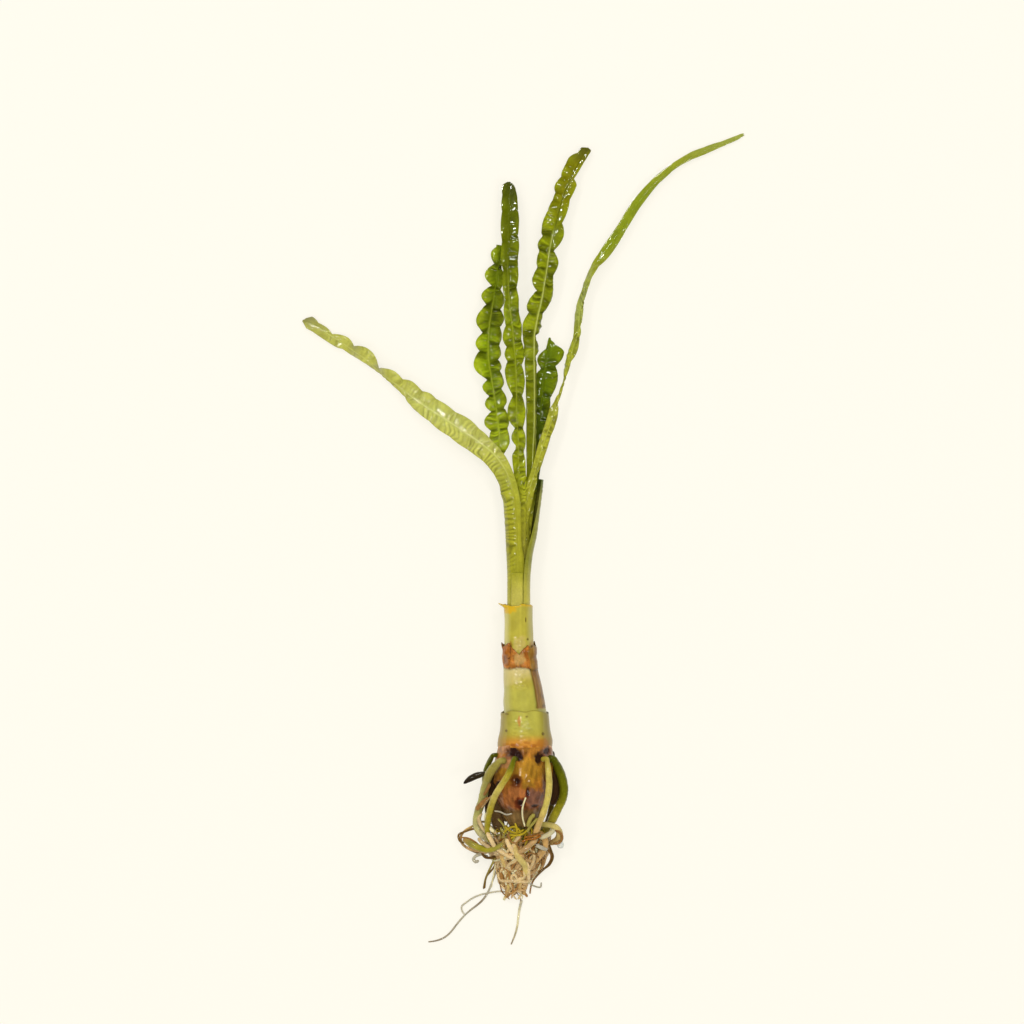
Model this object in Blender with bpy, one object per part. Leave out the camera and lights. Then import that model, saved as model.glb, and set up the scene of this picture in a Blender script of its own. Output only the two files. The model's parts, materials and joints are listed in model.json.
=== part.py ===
"""A crinum plant as sold for aquariums: bulb, false stem, ruffled leaves and roots.

The plant lies on its side on a flat surface, z = 0. Its leaves point along +Y and its roots along -Y.
The lists below are in millimetres and degrees, and the meshes are made in metres.
"""
import bmesh
import bpy
import numpy as np

MM = 0.001

# The bulb and the false stem follow one bent axis: place along Y, then sideways place and height.
AXIS_Y = [-106.0, -88.5, -74.0, -68.0, -63.5, -55.4, -48.0, -42.5, -37.0, -23.7, -12.0]
AXIS_X = [-0.2, -0.2, 0.7, 0.6, 0.6, -0.1, -1.0, -1.5, -1.8, -1.9, -1.7]
AXIS_Z = [10.4, 10.4, 10.7, 10.8, 10.9, 10.7, 10.2, 9.8, 9.5, 8.8, 8.3]

# Bulb: place along Y and radius, from under the basal plate up to the point inside the sheaths.
BULB_Y = [-105.6, -104.3, -100.4, -99.2, -97.6, -94.0, -88.5, -83.0, -77.5, -75.2, -74.2, -67.6, -60.0,
          -50.0, -45.0, -43.6]
BULB_RADIUS = [4.6, 6.0, 6.8, 7.5, 8.8, 10.4, 11.2, 11.1, 10.4, 9.9, 8.6, 6.9, 6.2, 5.3, 4.4, 2.0]
BULB_SIDES = 18
BULB_LUMPS = 0.02

# Sleeves: place along Y, outer radius and inner radius, from the lower edge up to the rim.
LOWER_SHEATH = [(-73.4, 10.0, 9.2), (-68.3, 9.2, 8.5), (-62.6, 8.5, 8.15)]
MIDDLE_SHEATH = [(-67.0, 7.8, 7.35), (-60.0, 7.65, 6.6), (-54.0, 7.2, 6.1), (-48.0, 6.35, 5.75),
                 (-42.5, 6.3, 5.75), (-37.6, 6.05, 5.75)]
UPPER_SHEATH = [(-42.0, 5.3, 4.95), (-37.0, 5.45, 4.95), (-29.6, 5.35, 4.95), (-23.6, 5.25, 4.95)]
SLEEVE_SIDES = 18

# Rims: how far the upper edge of each sleeve drops. Each wave has its depth, how many times it goes
# around, and where it starts. Each notch has its depth, its middle and half its width. Angles are
# from the right side over the front, and a negative depth is a raised flap.
LOWER_RIM_WAVES = [(0.6, 0, 0), (0.5, 2, 0), (0.3, 5, 90)]
MIDDLE_RIM_WAVES = [(0.8, 0, 0), (0.6, 3, 90), (0.3, 7, 0)]
UPPER_RIM_WAVES = [(0.5, 0, 0), (0.3, 3, 0)]
MIDDLE_RIM_NOTCH = (5.0, 90, 34)
UPPER_RIM_FLAP = (-0.4, 180, 29)

# Each sleeve: its rows, the waves and the notches of its rim, and its colour.
SLEEVES = {
    "sheath_lower": (LOWER_SHEATH, LOWER_RIM_WAVES, [], "sheath_green"),
    "sheath_middle": (MIDDLE_SHEATH, MIDDLE_RIM_WAVES, [MIDDLE_RIM_NOTCH], "sheath_tan"),
    "sheath_upper": (UPPER_SHEATH, UPPER_RIM_WAVES, [UPPER_RIM_FLAP], "sheath_pale"),
}

# Leaf stations run from the base to the tip. Columns: x, y, z of the midrib, width of the left and
# of the right half, mean rise of the left and of the right half, cup, turn about the midrib, ruffle.
# Cup 0 is a straight half, and cup 1 is a round arc. Widths in mm, angles in degrees.
LEFT_LEAF = [
    (-1.9, -31.0, 12.3, 7.2, 4.2, -51, -35, 1.0, 0, 0),
    (-1.9, -22.3, 11.9, 7.2, 4.2, -51, -35, 1.0, 0, 0),
    (-1.9, -12.3, 11.4, 7.2, 4.1, -51, -34, 1.0, 0, 0),
    (-2.1, -2.0, 11.2, 7.4, 1.7, -49, -22, 1.0, 0, 0),
    (-2.5, 7.2, 11.2, 6.8, 1.8, -44, -18, 1.0, 0, 0),
    (-3.1, 14.5, 10.9, 5.9, 1.9, -35, -12, 1.0, 0, 4),
    (-4.6, 20.8, 10.6, 5.1, 2.0, -25, -8, 0.8, 0, 8),
    (-7.2, 26.7, 10.3, 4.7, 2.4, -16, -6, 0.6, 0, 12),
    (-10.5, 31.1, 9.9, 4.7, 3.0, -10, -5, 0.5, 0, 16),
    (-16.7, 36.2, 9.1, 4.9, 3.7, -6, -5, 0.4, 0, 20),
    (-23.4, 40.7, 8.2, 4.7, 4.3, -5, -5, 0.3, 0, 24),
    (-30.4, 45.4, 7.2, 4.4, 4.5, -5, -5, 0.3, 0, 26),
    (-36.2, 49.1, 6.3, 4.2, 4.4, -5, -5, 0.3, 5, 28),
    (-42.1, 53.2, 5.4, 4.0, 4.2, -5, -5, 0.3, 10, 30),
    (-48.4, 58.3, 4.6, 3.0, 3.2, -5, -5, 0.3, 35, 30),
    (-53.5, 62.4, 4.0, 2.7, 2.7, 0, 0, 0.3, 68, 25),
    (-58.0, 66.4, 3.5, 2.8, 2.8, 0, 0, 0.3, 25, 30),
    (-62.0, 69.4, 3.1, 2.7, 2.6, 0, 0, 0.3, 55, 25),
    (-67.5, 73.0, 2.6, 2.5, 2.4, 5, 5, 0.3, 15, 30),
    (-73.0, 76.4, 2.0, 2.2, 2.1, 5, 5, 0.3, 0, 28),
    (-77.8, 79.3, 1.5, 1.7, 1.9, 10, 20, 0.3, 0, 20),
    (-81.5, 81.1, 1.2, 0.3, 0.3, 10, 20, 0.3, 0, 0),
]
UPRIGHT_LEAF = [
    (-2.2, -31.0, 10.5, 1.9, 2.1, 6, 8, 0.5, 0, 0),
    (-2.2, -22.3, 10.1, 1.9, 2.1, 6, 8, 0.5, 0, 0),
    (-2.3, -12.3, 9.6, 1.9, 2.1, 6, 8, 0.5, 0, 0),
    (-3.0, -2.0, 9.2, 1.8, 2.0, 2, 4, 0.5, 0, 0),
    (-3.9, 7.2, 8.6, 1.8, 1.8, 0, 0, 0.5, 0, 0),
    (-5.2, 14.5, 7.6, 2.0, 1.9, 0, 0, 0.5, 0, 0),
    (-6.9, 21.9, 7.0, 2.2, 2.0, 0, 0, 0.5, 0, 0),
    (-8.5, 29.3, 6.4, 2.3, 1.2, 0, 0, 0.5, 0, 8),
    (-8.8, 34.2, 6.0, 3.0, 2.0, 8, 0, 0.4, 0, 18),
    (-8.9, 38.4, 5.7, 3.4, 3.9, 15, 6, 0.3, 0, 32),
    (-9.8, 45.8, 5.2, 3.8, 4.3, 24, 12, 0.3, 0, 46),
    (-10.9, 53.5, 4.7, 4.2, 4.4, 26, 14, 0.3, 0, 48),
    (-12.0, 60.2, 4.3, 4.9, 4.4, 26, 14, 0.3, 0, 48),
    (-12.7, 64.6, 4.1, 5.3, 4.4, 26, 14, 0.3, 0, 48),
    (-13.1, 70.5, 3.9, 5.1, 4.4, 26, 14, 0.3, 0, 48),
    (-12.7, 78.6, 3.6, 5.0, 4.4, 26, 10, 0.3, 0, 46),
    (-11.2, 88.1, 3.3, 4.7, 4.2, 24, 2, 0.3, 0, 42),
    (-9.8, 97.3, 3.0, 4.4, 3.6, 22, 0, 0.3, 0, 38),
    (-8.6, 104.7, 2.7, 3.7, 2.6, 18, 0, 0.3, 0, 32),
    (-8.1, 108.6, 2.5, 1.2, 1.0, 10, 0, 0.3, 0, 0),
]
CENTRE_LEAF = [
    (-2.0, -31.0, 9.6, 2.6, 2.6, 8, 8, 0.5, 0, 0),
    (-2.0, -22.3, 9.2, 2.6, 2.6, 8, 8, 0.5, 0, 0),
    (-1.8, -12.3, 8.7, 2.6, 2.6, 8, 8, 0.5, 0, 0),
    (-1.5, -2.0, 8.4, 2.4, 2.3, 5, 5, 0.5, 0, 0),
    (-1.3, 7.2, 7.6, 2.0, 2.2, 0, 0, 0.5, 0, 0),
    (-1.3, 14.5, 7.4, 1.6, 2.4, 0, 0, 0.5, 0, 4),
    (-1.7, 21.5, 8.1, 1.8, 2.8, 5, 0, 0.5, 0, 12),
    (-1.9, 29.0, 8.6, 2.2, 2.6, 10, 0, 0.4, 0, 20),
    (-2.0, 36.6, 9.0, 2.7, 2.7, 15, 6, 0.3, 0, 30),
    (-2.6, 45.8, 9.1, 3.1, 3.1, 18, 8, 0.3, 0, 38),
    (-2.6, 55.4, 9.1, 3.2, 3.1, 18, 8, 0.3, 0, 40),
    (-2.8, 62.4, 9.1, 3.8, 3.1, 18, 8, 0.3, 0, 40),
    (-3.5, 71.6, 8.9, 3.8, 3.2, 18, 8, 0.3, 0, 40),
    (-4.3, 79.7, 8.7, 3.5, 3.3, 18, 10, 0.3, 0, 38),
    (-5.1, 85.2, 8.5, 3.5, 3.5, 16, 10, 0.3, 0, 34),
    (-5.6, 93.3, 8.1, 3.3, 3.5, 14, 10, 0.3, 0, 28),
    (-5.9, 102.9, 7.6, 3.1, 3.7, 12, 10, 0.3, 0, 22),
    (-5.5, 110.2, 7.1, 3.0, 3.6, 12, 10, 0.3, 0, 18),
    (-5.2, 119.4, 6.3, 2.9, 3.3, 12, 10, 0.3, 0, 12),
    (-5.0, 126.8, 5.5, 2.6, 2.8, 12, 10, 0.3, 0, 8),
    (-5.0, 130.2, 5.1, 1.9, 2.0, 12, 10, 0.3, 0, 4),
    (-5.0, 131.9, 4.9, 0.5, 0.5, 12, 10, 0.3, 0, 0),
]
ARCHING_LEAF = [
    (-1.6, -31.0, 8.7, 2.7, 2.7, 8, 8, 0.5, 0, 0),
    (-1.5, -22.3, 8.3, 2.7, 2.7, 8, 8, 0.5, 0, 0),
    (-1.2, -12.3, 7.8, 2.7, 2.7, 8, 8, 0.5, 0, 0),
    (-0.4, -2.0, 7.5, 2.4, 2.0, 5, 5, 0.5, 0, 0),
    (0.1, 7.2, 6.7, 1.8, 1.7, 0, 0, 0.5, 0, 0),
    (1.3, 14.5, 6.5, 1.7, 2.0, 0, 0, 0.5, 0, 0),
    (2.9, 20.6, 7.2, 1.6, 1.9, 0, 0, 0.5, 0, 0),
    (5.0, 27.4, 7.9, 1.5, 2.2, 0, 0, 0.4, 0, 6),
    (7.2, 34.8, 8.3, 1.8, 2.3, 0, -10, 0.3, 0, 16),
    (9.8, 42.1, 8.1, 1.9, 2.4, 0, -10, 0.3, 0, 22),
    (12.0, 49.9, 7.7, 1.7, 2.1, 0, 0, 0.3, 15, 24),
    (13.8, 54.3, 7.4, 1.3, 1.3, 0, 0, 0.3, 60, 20),
    (14.9, 58.0, 7.2, 1.4, 1.3, 0, 0, 0.3, 75, 20),
    (16.7, 63.8, 6.9, 1.7, 1.5, 0, 0, 0.3, 55, 26),
    (18.2, 69.7, 6.6, 1.8, 1.6, 0, 0, 0.3, 35, 30),
    (20.1, 76.4, 6.3, 1.8, 1.7, 0, 0, 0.3, 30, 30),
    (21.2, 84.5, 5.9, 1.7, 1.6, 0, 0, 0.3, 35, 26),
    (23.0, 92.9, 5.4, 1.4, 1.4, 0, 0, 0.3, 45, 20),
    (26.0, 100.6, 4.9, 1.3, 1.2, 0, 0, 0.3, 50, 12),
    (29.3, 105.2, 4.6, 2.1, 2.1, 0, 0, 0.3, 10, 12),
    (35.5, 113.6, 4.1, 2.3, 2.2, 8, 8, 0.3, 0, 14),
    (42.9, 124.9, 3.5, 1.9, 1.8, 8, 8, 0.3, 0, 12),
    (48.4, 131.2, 3.1, 1.4, 1.3, 8, 8, 0.3, 0, 8),
    (54.6, 136.2, 2.7, 1.1, 1.0, 5, 5, 0.3, 0, 6),
    (61.3, 140.6, 2.2, 1.0, 1.0, 5, 5, 0.3, 0, 6),
    (70.5, 145.0, 1.6, 1.1, 1.1, 5, 5, 0.3, 0, 6),
    (81.5, 149.6, 0.9, 0.3, 0.3, 5, 5, 0.3, 0, 0),
]
RIGHT_LEAF = [
    (-1.4, -31.0, 7.8, 2.6, 2.5, 8, 8, 0.5, 0, 0),
    (-1.2, -22.3, 7.4, 2.6, 2.5, 8, 8, 0.5, 0, 0),
    (-1.1, -12.3, 6.9, 2.6, 2.4, 8, 8, 0.5, 0, 0),
    (-0.2, -2.0, 6.6, 2.5, 2.3, 5, 5, 0.5, 0, 0),
    (0.7, 7.2, 5.8, 2.2, 1.6, 0, 0, 0.5, 0, 0),
    (2.0, 14.5, 5.7, 2.0, 1.6, 0, 0, 0.5, 0, 0),
    (3.0, 21.9, 6.4, 2.0, 1.6, 0, -10, 0.5, 0, 0),
    (3.5, 33.3, 7.2, 2.5, 1.6, 4, -40, 0.4, 0, 4),
    (3.9, 41.0, 7.4, 2.9, 1.7, 6, -60, 0.3, 0, 6),
    (4.0, 50.6, 7.6, 3.1, 1.8, 6, -65, 0.3, 0, 8),
    (4.0, 62.0, 7.7, 3.4, 1.9, 6, -65, 0.3, 0, 14),
    (3.9, 70.5, 7.8, 3.9, 2.0, 10, -62, 0.3, 0, 26),
    (4.2, 76.4, 7.8, 4.2, 2.2, 14, -58, 0.3, 0, 34),
    (5.0, 81.0, 7.6, 4.6, 2.6, 16, -50, 0.3, 0, 38),
    (6.2, 86.0, 7.4, 4.6, 3.0, 18, -20, 0.3, 0, 40),
    (7.4, 92.6, 7.1, 4.3, 3.6, 18, 4, 0.3, 0, 40),
    (8.5, 98.8, 6.8, 4.4, 3.8, 18, 14, 0.3, 0, 40),
    (9.2, 104.0, 6.5, 4.4, 3.8, 18, 16, 0.3, 0, 40),
    (10.5, 111.0, 6.1, 4.3, 4.0, 18, 16, 0.3, 0, 40),
    (12.5, 118.4, 5.5, 4.1, 3.8, 16, 16, 0.3, 0, 38),
    (13.8, 123.8, 5.1, 3.6, 3.4, 14, 16, 0.3, 0, 34),
    (15.6, 129.0, 4.7, 3.5, 3.4, 12, 16, 0.3, 0, 30),
    (17.5, 133.4, 4.2, 3.2, 3.0, 10, 14, 0.3, 0, 26),
    (19.7, 137.6, 3.7, 2.7, 2.5, 10, 12, 0.3, 0, 20),
    (22.6, 142.2, 3.0, 1.9, 1.6, 8, 10, 0.3, 0, 10),
    (24.4, 144.2, 2.7, 0.4, 0.4, 0, 0, 0.3, 0, 0),
]
SHORT_LEAF = [
    (-1.5, -31.0, 6.9, 2.1, 2.1, 8, 8, 0.5, 0, 0),
    (-1.3, -22.3, 6.5, 2.1, 2.1, 8, 8, 0.5, 0, 0),
    (-1.1, -12.3, 6.0, 2.1, 2.1, 8, 8, 0.5, 0, 0),
    (0.2, -2.0, 5.7, 2.0, 2.0, 6, 6, 0.5, 0, 0),
    (1.6, 7.2, 4.9, 1.7, 1.7, 4, 4, 0.5, 0, 0),
    (2.8, 14.5, 4.9, 1.7, 1.6, 0, 0, 0.5, 0, 0),
    (3.9, 21.9, 5.2, 1.9, 1.7, 0, 0, 0.5, 0, 0),
    (4.7, 31.1, 4.7, 2.6, 2.4, 0, 0, 0.4, 0, 10),
    (6.0, 44.0, 4.0, 3.7, 3.9, 4, 4, 0.3, 0, 26),
    (6.9, 54.0, 3.6, 4.0, 4.6, 4, 6, 0.3, 0, 34),
    (7.6, 61.0, 3.5, 4.2, 4.8, 4, 6, 0.3, 0, 36),
    (8.5, 66.4, 3.4, 4.0, 4.9, 4, 6, 0.3, 0, 36),
    (9.2, 70.5, 3.3, 2.6, 4.6, 4, 6, 0.3, 0, 30),
    (9.8, 74.5, 3.2, 0.5, 0.6, 0, 0, 0.3, 0, 0),
]
CUT_LEAF = [
    (-1.9, -31.0, 5.0, 4.6, 11.5, 30, 77, 1.0, 0, 0),
    (-1.9, -22.3, 4.6, 4.6, 11.5, 30, 77, 1.0, 0, 0),
    (-1.7, -12.3, 4.1, 4.6, 11.5, 30, 77, 1.0, 0, 0),
    (-0.8, -4.5, 3.7, 4.5, 11.4, 30, 76, 1.0, 0, 0),
    (0.4, 1.0, 3.4, 4.4, 11.1, 30, 74, 1.0, 0, 0),
    (2.1, 10.9, 3.1, 3.8, 9.4, 27, 67, 1.0, 0, 0),
    (3.9, 22.6, 3.2, 3.2, 8.1, 24, 64, 1.0, 0, 0),
]
FRONT_STUMP = [
    (-2.4, -34.0, 13.6, 2.3, 2.2, -15, -15, 1.0, 6, 0),
    (-2.4, -23.7, 13.05, 2.3, 2.2, -15, -15, 1.0, 6, 0),
    (-2.3, -12.3, 12.5, 2.2, 2.1, -14, -14, 1.0, 6, 0),
]
STATION_ANGLES = [5, 6, 8, 9]

# A leaf's ruffle: length of one wave, and how far along its wave each half starts.
WAVE_LENGTH = 8.1
WAVE_FLOOR = 0.02
WAVE_POWER = 0.35
WAVE_MIDDLE = 0.62
WAVE_HALF_RANGE = 0.38
RUFFLE_SPREAD = 1.3
BASE_END_Y = 24.0
LEAF_THICKNESS = 0.42
RIB_THICKNESS = 0.2
RIB_WIDTH = 0.14
SMALLEST_HALF = 0.2
HALF_SAMPLES = 41
SHARP_ANGLE = 50.0
END_GAP = 1e-6

# Each leaf: its stations, columns of faces in each half, steps in a wave, where the waves of its left
# and of its right half start, and its colour.
LEAVES = {
    "leaf_left": (LEFT_LEAF, 2, 4, 0.00, 0.50, "leaf_pale"),
    "leaf_upright": (UPRIGHT_LEAF, 2, 4, 0.00, 0.25, "leaf_dark"),
    "leaf_centre": (CENTRE_LEAF, 2, 4, 0.25, 0.75, "leaf_mid"),
    "leaf_arching": (ARCHING_LEAF, 2, 3, 0.00, 0.33, "leaf_mid"),
    "leaf_right": (RIGHT_LEAF, 2, 4, 0.50, 0.75, "leaf_mid"),
    "leaf_short": (SHORT_LEAF, 2, 4, 0.25, 0.50, "leaf_dark"),
    "leaf_cut": (CUT_LEAF, 4, 3, 0.00, 0.00, "leaf_dark"),
    "leaf_stump": (FRONT_STUMP, 2, 2, 0.00, 0.00, "sheath_pale"),
}

# Roots: the points each one passes, x, y, z and radius, from where it grows to its tip.
ROOTS = {
    "root_left_outer": ([(-10.6, -79.4, 13.6, 0.8), (-12.6, -81.9, 10.8, 1.0), (-14.1, -85.6, 8.0, 1.0),
                         (-14.4, -90.0, 6.0, 1.0), (-14.0, -96.0, 4.6, 1.0), (-12.5, -102.0, 3.8, 0.9),
                         (-9.5, -107.0, 3.2, 0.8)], "root_green"),
    "root_left": ([(-8.8, -81.2, 20.4, 0.9), (-11.0, -83.4, 18.6, 1.2), (-13.3, -87.4, 15.2, 1.2),
                   (-14.3, -91.8, 11.8, 1.2), (-15.2, -96.2, 9.8, 1.2), (-16.8, -100.3, 8.4, 1.2),
                   (-17.8, -103.0, 7.2, 1.1), (-17.0, -107.3, 6.0, 1.1), (-12.5, -111.0, 5.2, 1.0),
                   (-8.0, -114.5, 4.6, 0.9)], "root_green"),
    "root_front_left": ([(-3.6, -80.4, 23.0, 1.0), (-4.6, -84.1, 24.6, 1.35), (-7.5, -88.9, 23.4, 1.4),
                         (-10.5, -93.7, 20.4, 1.4), (-12.0, -98.1, 17.0, 1.4), (-13.0, -102.5, 13.8, 1.3),
                         (-13.4, -107.6, 10.4, 1.2), (-12.6, -111.0, 8.6, 1.1), (-9.0, -114.0, 7.6, 1.0),
                         (-5.5, -117.5, 7.0, 0.9)], "root_cream"),
    "root_front_right": ([(8.4, -80.6, 19.6, 1.0), (9.2, -85.6, 21.4, 1.4), (9.5, -89.6, 21.4, 1.45),
                          (8.7, -95.5, 21.6, 1.45), (7.2, -100.3, 19.6, 1.45), (5.9, -103.6, 17.4, 1.4),
                          (4.5, -107.3, 14.8, 1.4), (4.0, -110.4, 12.6, 1.3), (1.6, -112.8, 10.8, 1.2),
                          (-1.6, -115.2, 9.8, 1.0)], "root_cream"),
    "root_right_outer": ([(10.9, -80.6, 16.6, 0.9), (13.0, -84.4, 13.6, 1.2), (14.9, -90.3, 11.6, 1.2),
                          (15.0, -94.4, 10.6, 1.2), (13.5, -97.6, 10.0, 1.2), (11.7, -101.0, 9.2, 1.2),
                          (9.6, -105.0, 8.0, 1.1), (6.6, -109.0, 6.6, 1.0)], "root_green"),
    "root_under_right": ([(9.9, -79.0, 4.8, 0.8), (11.1, -86.0, 3.8, 1.0), (11.2, -92.0, 3.7, 1.0),
                          (10.4, -98.0, 3.6, 1.0), (9.2, -104.0, 3.4, 1.0), (6.0, -109.0, 2.8, 0.9),
                          (2.0, -114.0, 2.2, 0.8)], "root_green"),
    "root_dead": ([(-13.9, -86.0, 11.6, 0.7), (-15.6, -86.2, 11.6, 1.1), (-18.4, -87.0, 11.2, 1.25),
                   (-20.4, -88.2, 10.6, 1.0), (-22.0, -89.8, 10.0, 0.4)], "root_dead"),
    "root_curl_middle": ([(-1.5, -107.2, 11.8, 1.0), (-3.6, -110.4, 12.6, 1.2), (-3.2, -114.5, 12.2, 1.2),
                          (-0.8, -118.3, 10.4, 1.2), (1.5, -120.6, 8.6, 1.2), (0.3, -123.8, 7.0, 1.1),
                          (-1.9, -126.2, 5.4, 1.0), (-1.6, -130.0, 3.6, 0.8)], "root_cream"),
    "root_curl_left": ([(-3.8, -107.4, 9.2, 1.0), (-6.8, -110.6, 10.6, 1.1), (-8.6, -114.6, 10.2, 1.1),
                        (-7.0, -119.0, 8.2, 1.1), (-5.4, -124.0, 6.0, 1.1), (-5.6, -129.0, 3.8, 0.9),
                        (-6.6, -132.6, 2.2, 0.6)], "root_tan"),
    "root_curl_right": ([(3.6, -107.2, 10.4, 1.0), (7.6, -108.6, 11.6, 1.2), (8.4, -113.0, 9.6, 1.2),
                         (5.2, -117.6, 7.4, 1.2), (1.6, -121.6, 4.6, 1.1), (0.2, -127.0, 3.0, 1.0),
                         (0.2, -131.4, 1.8, 0.7)], "root_tan"),
    "root_loop_right": ([(6.4, -104.6, 13.6, 0.9), (10.4, -104.8, 12.0, 1.2), (13.8, -107.6, 8.6, 1.3),
                         (12.6, -111.4, 6.0, 1.2), (9.4, -112.2, 4.2, 0.9)], "root_tan"),
    "root_knob_left": ([(-7.6, -111.6, 14.2, 0.8), (-12.0, -114.6, 11.6, 1.1), (-16.6, -113.4, 9.6, 1.2),
                        (-20.4, -111.8, 8.2, 1.2), (-22.0, -110.0, 7.2, 0.8)], "root_green"),
    "root_loop_left": ([(-16.2, -104.4, 4.4, 0.4), (-19.8, -106.4, 4.4, 0.5), (-23.4, -108.4, 3.8, 0.5),
                        (-23.6, -112.0, 3.0, 0.5), (-19.0, -115.0, 2.4, 0.5), (-13.0, -117.2, 2.0, 0.4)],
                       "root_tan"),
    "root_low": ([(-0.6, -107.4, 7.4, 0.9), (-1.6, -111.6, 5.6, 1.1), (-3.0, -117.0, 3.4, 1.1),
                  (-2.6, -123.0, 2.0, 1.0), (-3.2, -129.0, 1.4, 0.7)], "root_tan"),
    "root_long": ([(-7.8, -118.0, 4.2, 0.4), (-9.6, -121.6, 3.2, 0.4), (-11.3, -125.4, 2.2, 0.4),
                   (-12.8, -130.2, 1.2, 0.4), (-15.4, -134.0, 0.6, 0.4), (-19.9, -137.1, 0.5, 0.35),
                   (-24.3, -141.7, 0.5, 0.35), (-28.4, -147.0, 0.5, 0.32), (-32.2, -148.6, 0.45, 0.3),
                   (-35.2, -148.8, 0.4, 0.25)], "root_thin"),
    "root_tail": ([(-0.6, -133.2, 1.2, 0.5), (-1.7, -136.8, 0.7, 0.45), (-2.0, -141.9, 0.55, 0.4),
                   (-2.9, -146.0, 0.5, 0.35), (-4.6, -149.8, 0.4, 0.25)], "root_thin"),
    "root_right_thin": ([(9.2, -114.4, 6.4, 0.4), (11.0, -116.6, 4.6, 0.4), (9.4, -120.2, 3.0, 0.4),
                         (5.4, -123.6, 1.4, 0.4), (2.6, -127.2, 0.8, 0.35), (2.4, -131.0, 0.6, 0.3)],
                        "root_thin"),
    "root_left_thin": ([(-10.4, -117.2, 6.4, 0.4), (-12.2, -121.2, 4.2, 0.4), (-14.0, -124.8, 2.2, 0.4),
                        (-14.8, -129.2, 0.8, 0.3)], "root_thin"),
}
ROOT_SIDES = 6
THIN_ROOT_SIDES = 5
THIN_ROOT_RADIUS = 0.6
ROOT_STEP = 3.1
FEWEST_STEPS = 3
FINE_STEP = 0.6
ROOT_CLEARANCE = 0.5
SPREAD_ROUNDS = 80
SPREAD_SHARE = 0.45
KEPT_SHARE = 0.8
NEAR_AXIS = 0.1
BASAL_END_Y = -106.2
TUBE_UP = (0.0, 0.3, 1.0)
CUT_REACH = 1e-7

COLOURS = {
    "leaf_pale": (0.47, 0.49, 0.10, 1.0),
    "leaf_dark": (0.13, 0.17, 0.012, 1.0),
    "leaf_mid": (0.20, 0.23, 0.012, 1.0),
    "sheath_pale": (0.52, 0.46, 0.11, 1.0),
    "sheath_green": (0.40, 0.38, 0.06, 1.0),
    "sheath_tan": (0.50, 0.35, 0.11, 1.0),
    "bulb_skin": (0.38, 0.15, 0.03, 1.0),
    "root_green": (0.11, 0.10, 0.004, 1.0),
    "root_cream": (0.50, 0.40, 0.08, 1.0),
    "root_tan": (0.35, 0.20, 0.05, 1.0),
    "root_thin": (0.30, 0.22, 0.12, 1.0),
    "root_dead": (0.035, 0.02, 0.008, 1.0),
}
WET_ROUGHNESS = 0.35


def clear_scene():
    """Start from an empty scene."""
    for item in list(bpy.data.objects):
        bpy.data.objects.remove(item, do_unlink=True)


def add_object(name, points, faces, colour_name):
    """Make one object from points in millimetres, with its own material."""
    mesh = bpy.data.meshes.new(name)
    mesh.from_pydata([tuple(point) for point in np.asarray(points) * MM], [], faces)
    mesh.update()
    item = bpy.data.objects.new(name, mesh)
    bpy.context.scene.collection.objects.link(item)
    material = bpy.data.materials.new(name + "_finish")
    material.use_nodes = True
    shader = material.node_tree.nodes["Principled BSDF"]
    shader.inputs["Base Color"].default_value = COLOURS[colour_name]
    shader.inputs["Roughness"].default_value = WET_ROUGHNESS
    shader.inputs["Metallic"].default_value = 0.0
    mesh.materials.append(material)
    mesh.shade_smooth()
    mesh.set_sharp_from_angle(angle=np.radians(SHARP_ANGLE))
    return item


def unit(vectors):
    """Scale vectors to length one."""
    return vectors / np.linalg.norm(vectors, axis=-1, keepdims=True)


def smooth_rows(rows, places):
    """Read rows of numbers at places along a smooth curve through them. Place is the arc length."""
    rows = np.asarray(rows, dtype=float)
    steps = np.linalg.norm(np.diff(rows[:, :3], axis=0), axis=1)
    knots = np.concatenate([[0.0], np.cumsum(steps)])
    slopes = np.gradient(rows, knots, axis=0)
    index = np.clip(np.searchsorted(knots, places, side="right") - 1, 0, len(knots) - 2)
    span = (knots[index + 1] - knots[index])[:, None]
    t = (np.asarray(places)[:, None] - knots[index][:, None]) / span
    start, end = rows[index], rows[index + 1]
    start_slope, end_slope = slopes[index] * span, slopes[index + 1] * span
    return ((2 * t**3 - 3 * t**2 + 1) * start + (t**3 - 2 * t**2 + t) * start_slope
            + (3 * t**2 - 2 * t**3) * end + (t**3 - t**2) * end_slope)


def row_length(rows):
    """Length of the straight runs between the rows' points."""
    return np.linalg.norm(np.diff(np.asarray(rows)[:, :3], axis=0), axis=1).sum()


def close_rings(ring_count, ring_size):
    """Faces of a skin over rings of points, closed at both ends."""
    faces = []
    for ring in range(ring_count - 1):
        low, high = ring * ring_size, (ring + 1) * ring_size
        for step in range(ring_size):
            following = (step + 1) % ring_size
            faces.append((low + step, low + following, high + following, high + step))
    last = (ring_count - 1) * ring_size
    faces.append(tuple(range(ring_size - 1, -1, -1)))
    faces.append(tuple(range(last, last + ring_size)))
    return faces


def blade_faces(ring_count, ring_size):
    """Faces of a closed thin blade. Its two sides are split along the same diagonals, so that neither
    side cuts through the other where the blade twists."""
    faces = close_rings(ring_count, ring_size)
    split = []
    for number, quad in enumerate(faces[:-2]):
        first, second, third, fourth = quad
        if number % ring_size < ring_size / 2:
            split += [(first, second, third), (first, third, fourth)]
        else:
            split += [(first, second, fourth), (second, third, fourth)]
    return split + faces[-2:]


def ruffle_wave(places, start):
    """Round lobes at -1 with narrow notches at +1, one of each in a wave."""
    phase = 2 * np.pi * (places / WAVE_LENGTH + start)
    lobe = (np.sin(phase / 2) ** 2 + WAVE_FLOOR) ** WAVE_POWER
    return (WAVE_MIDDLE - lobe) / WAVE_HALF_RANGE


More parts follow.
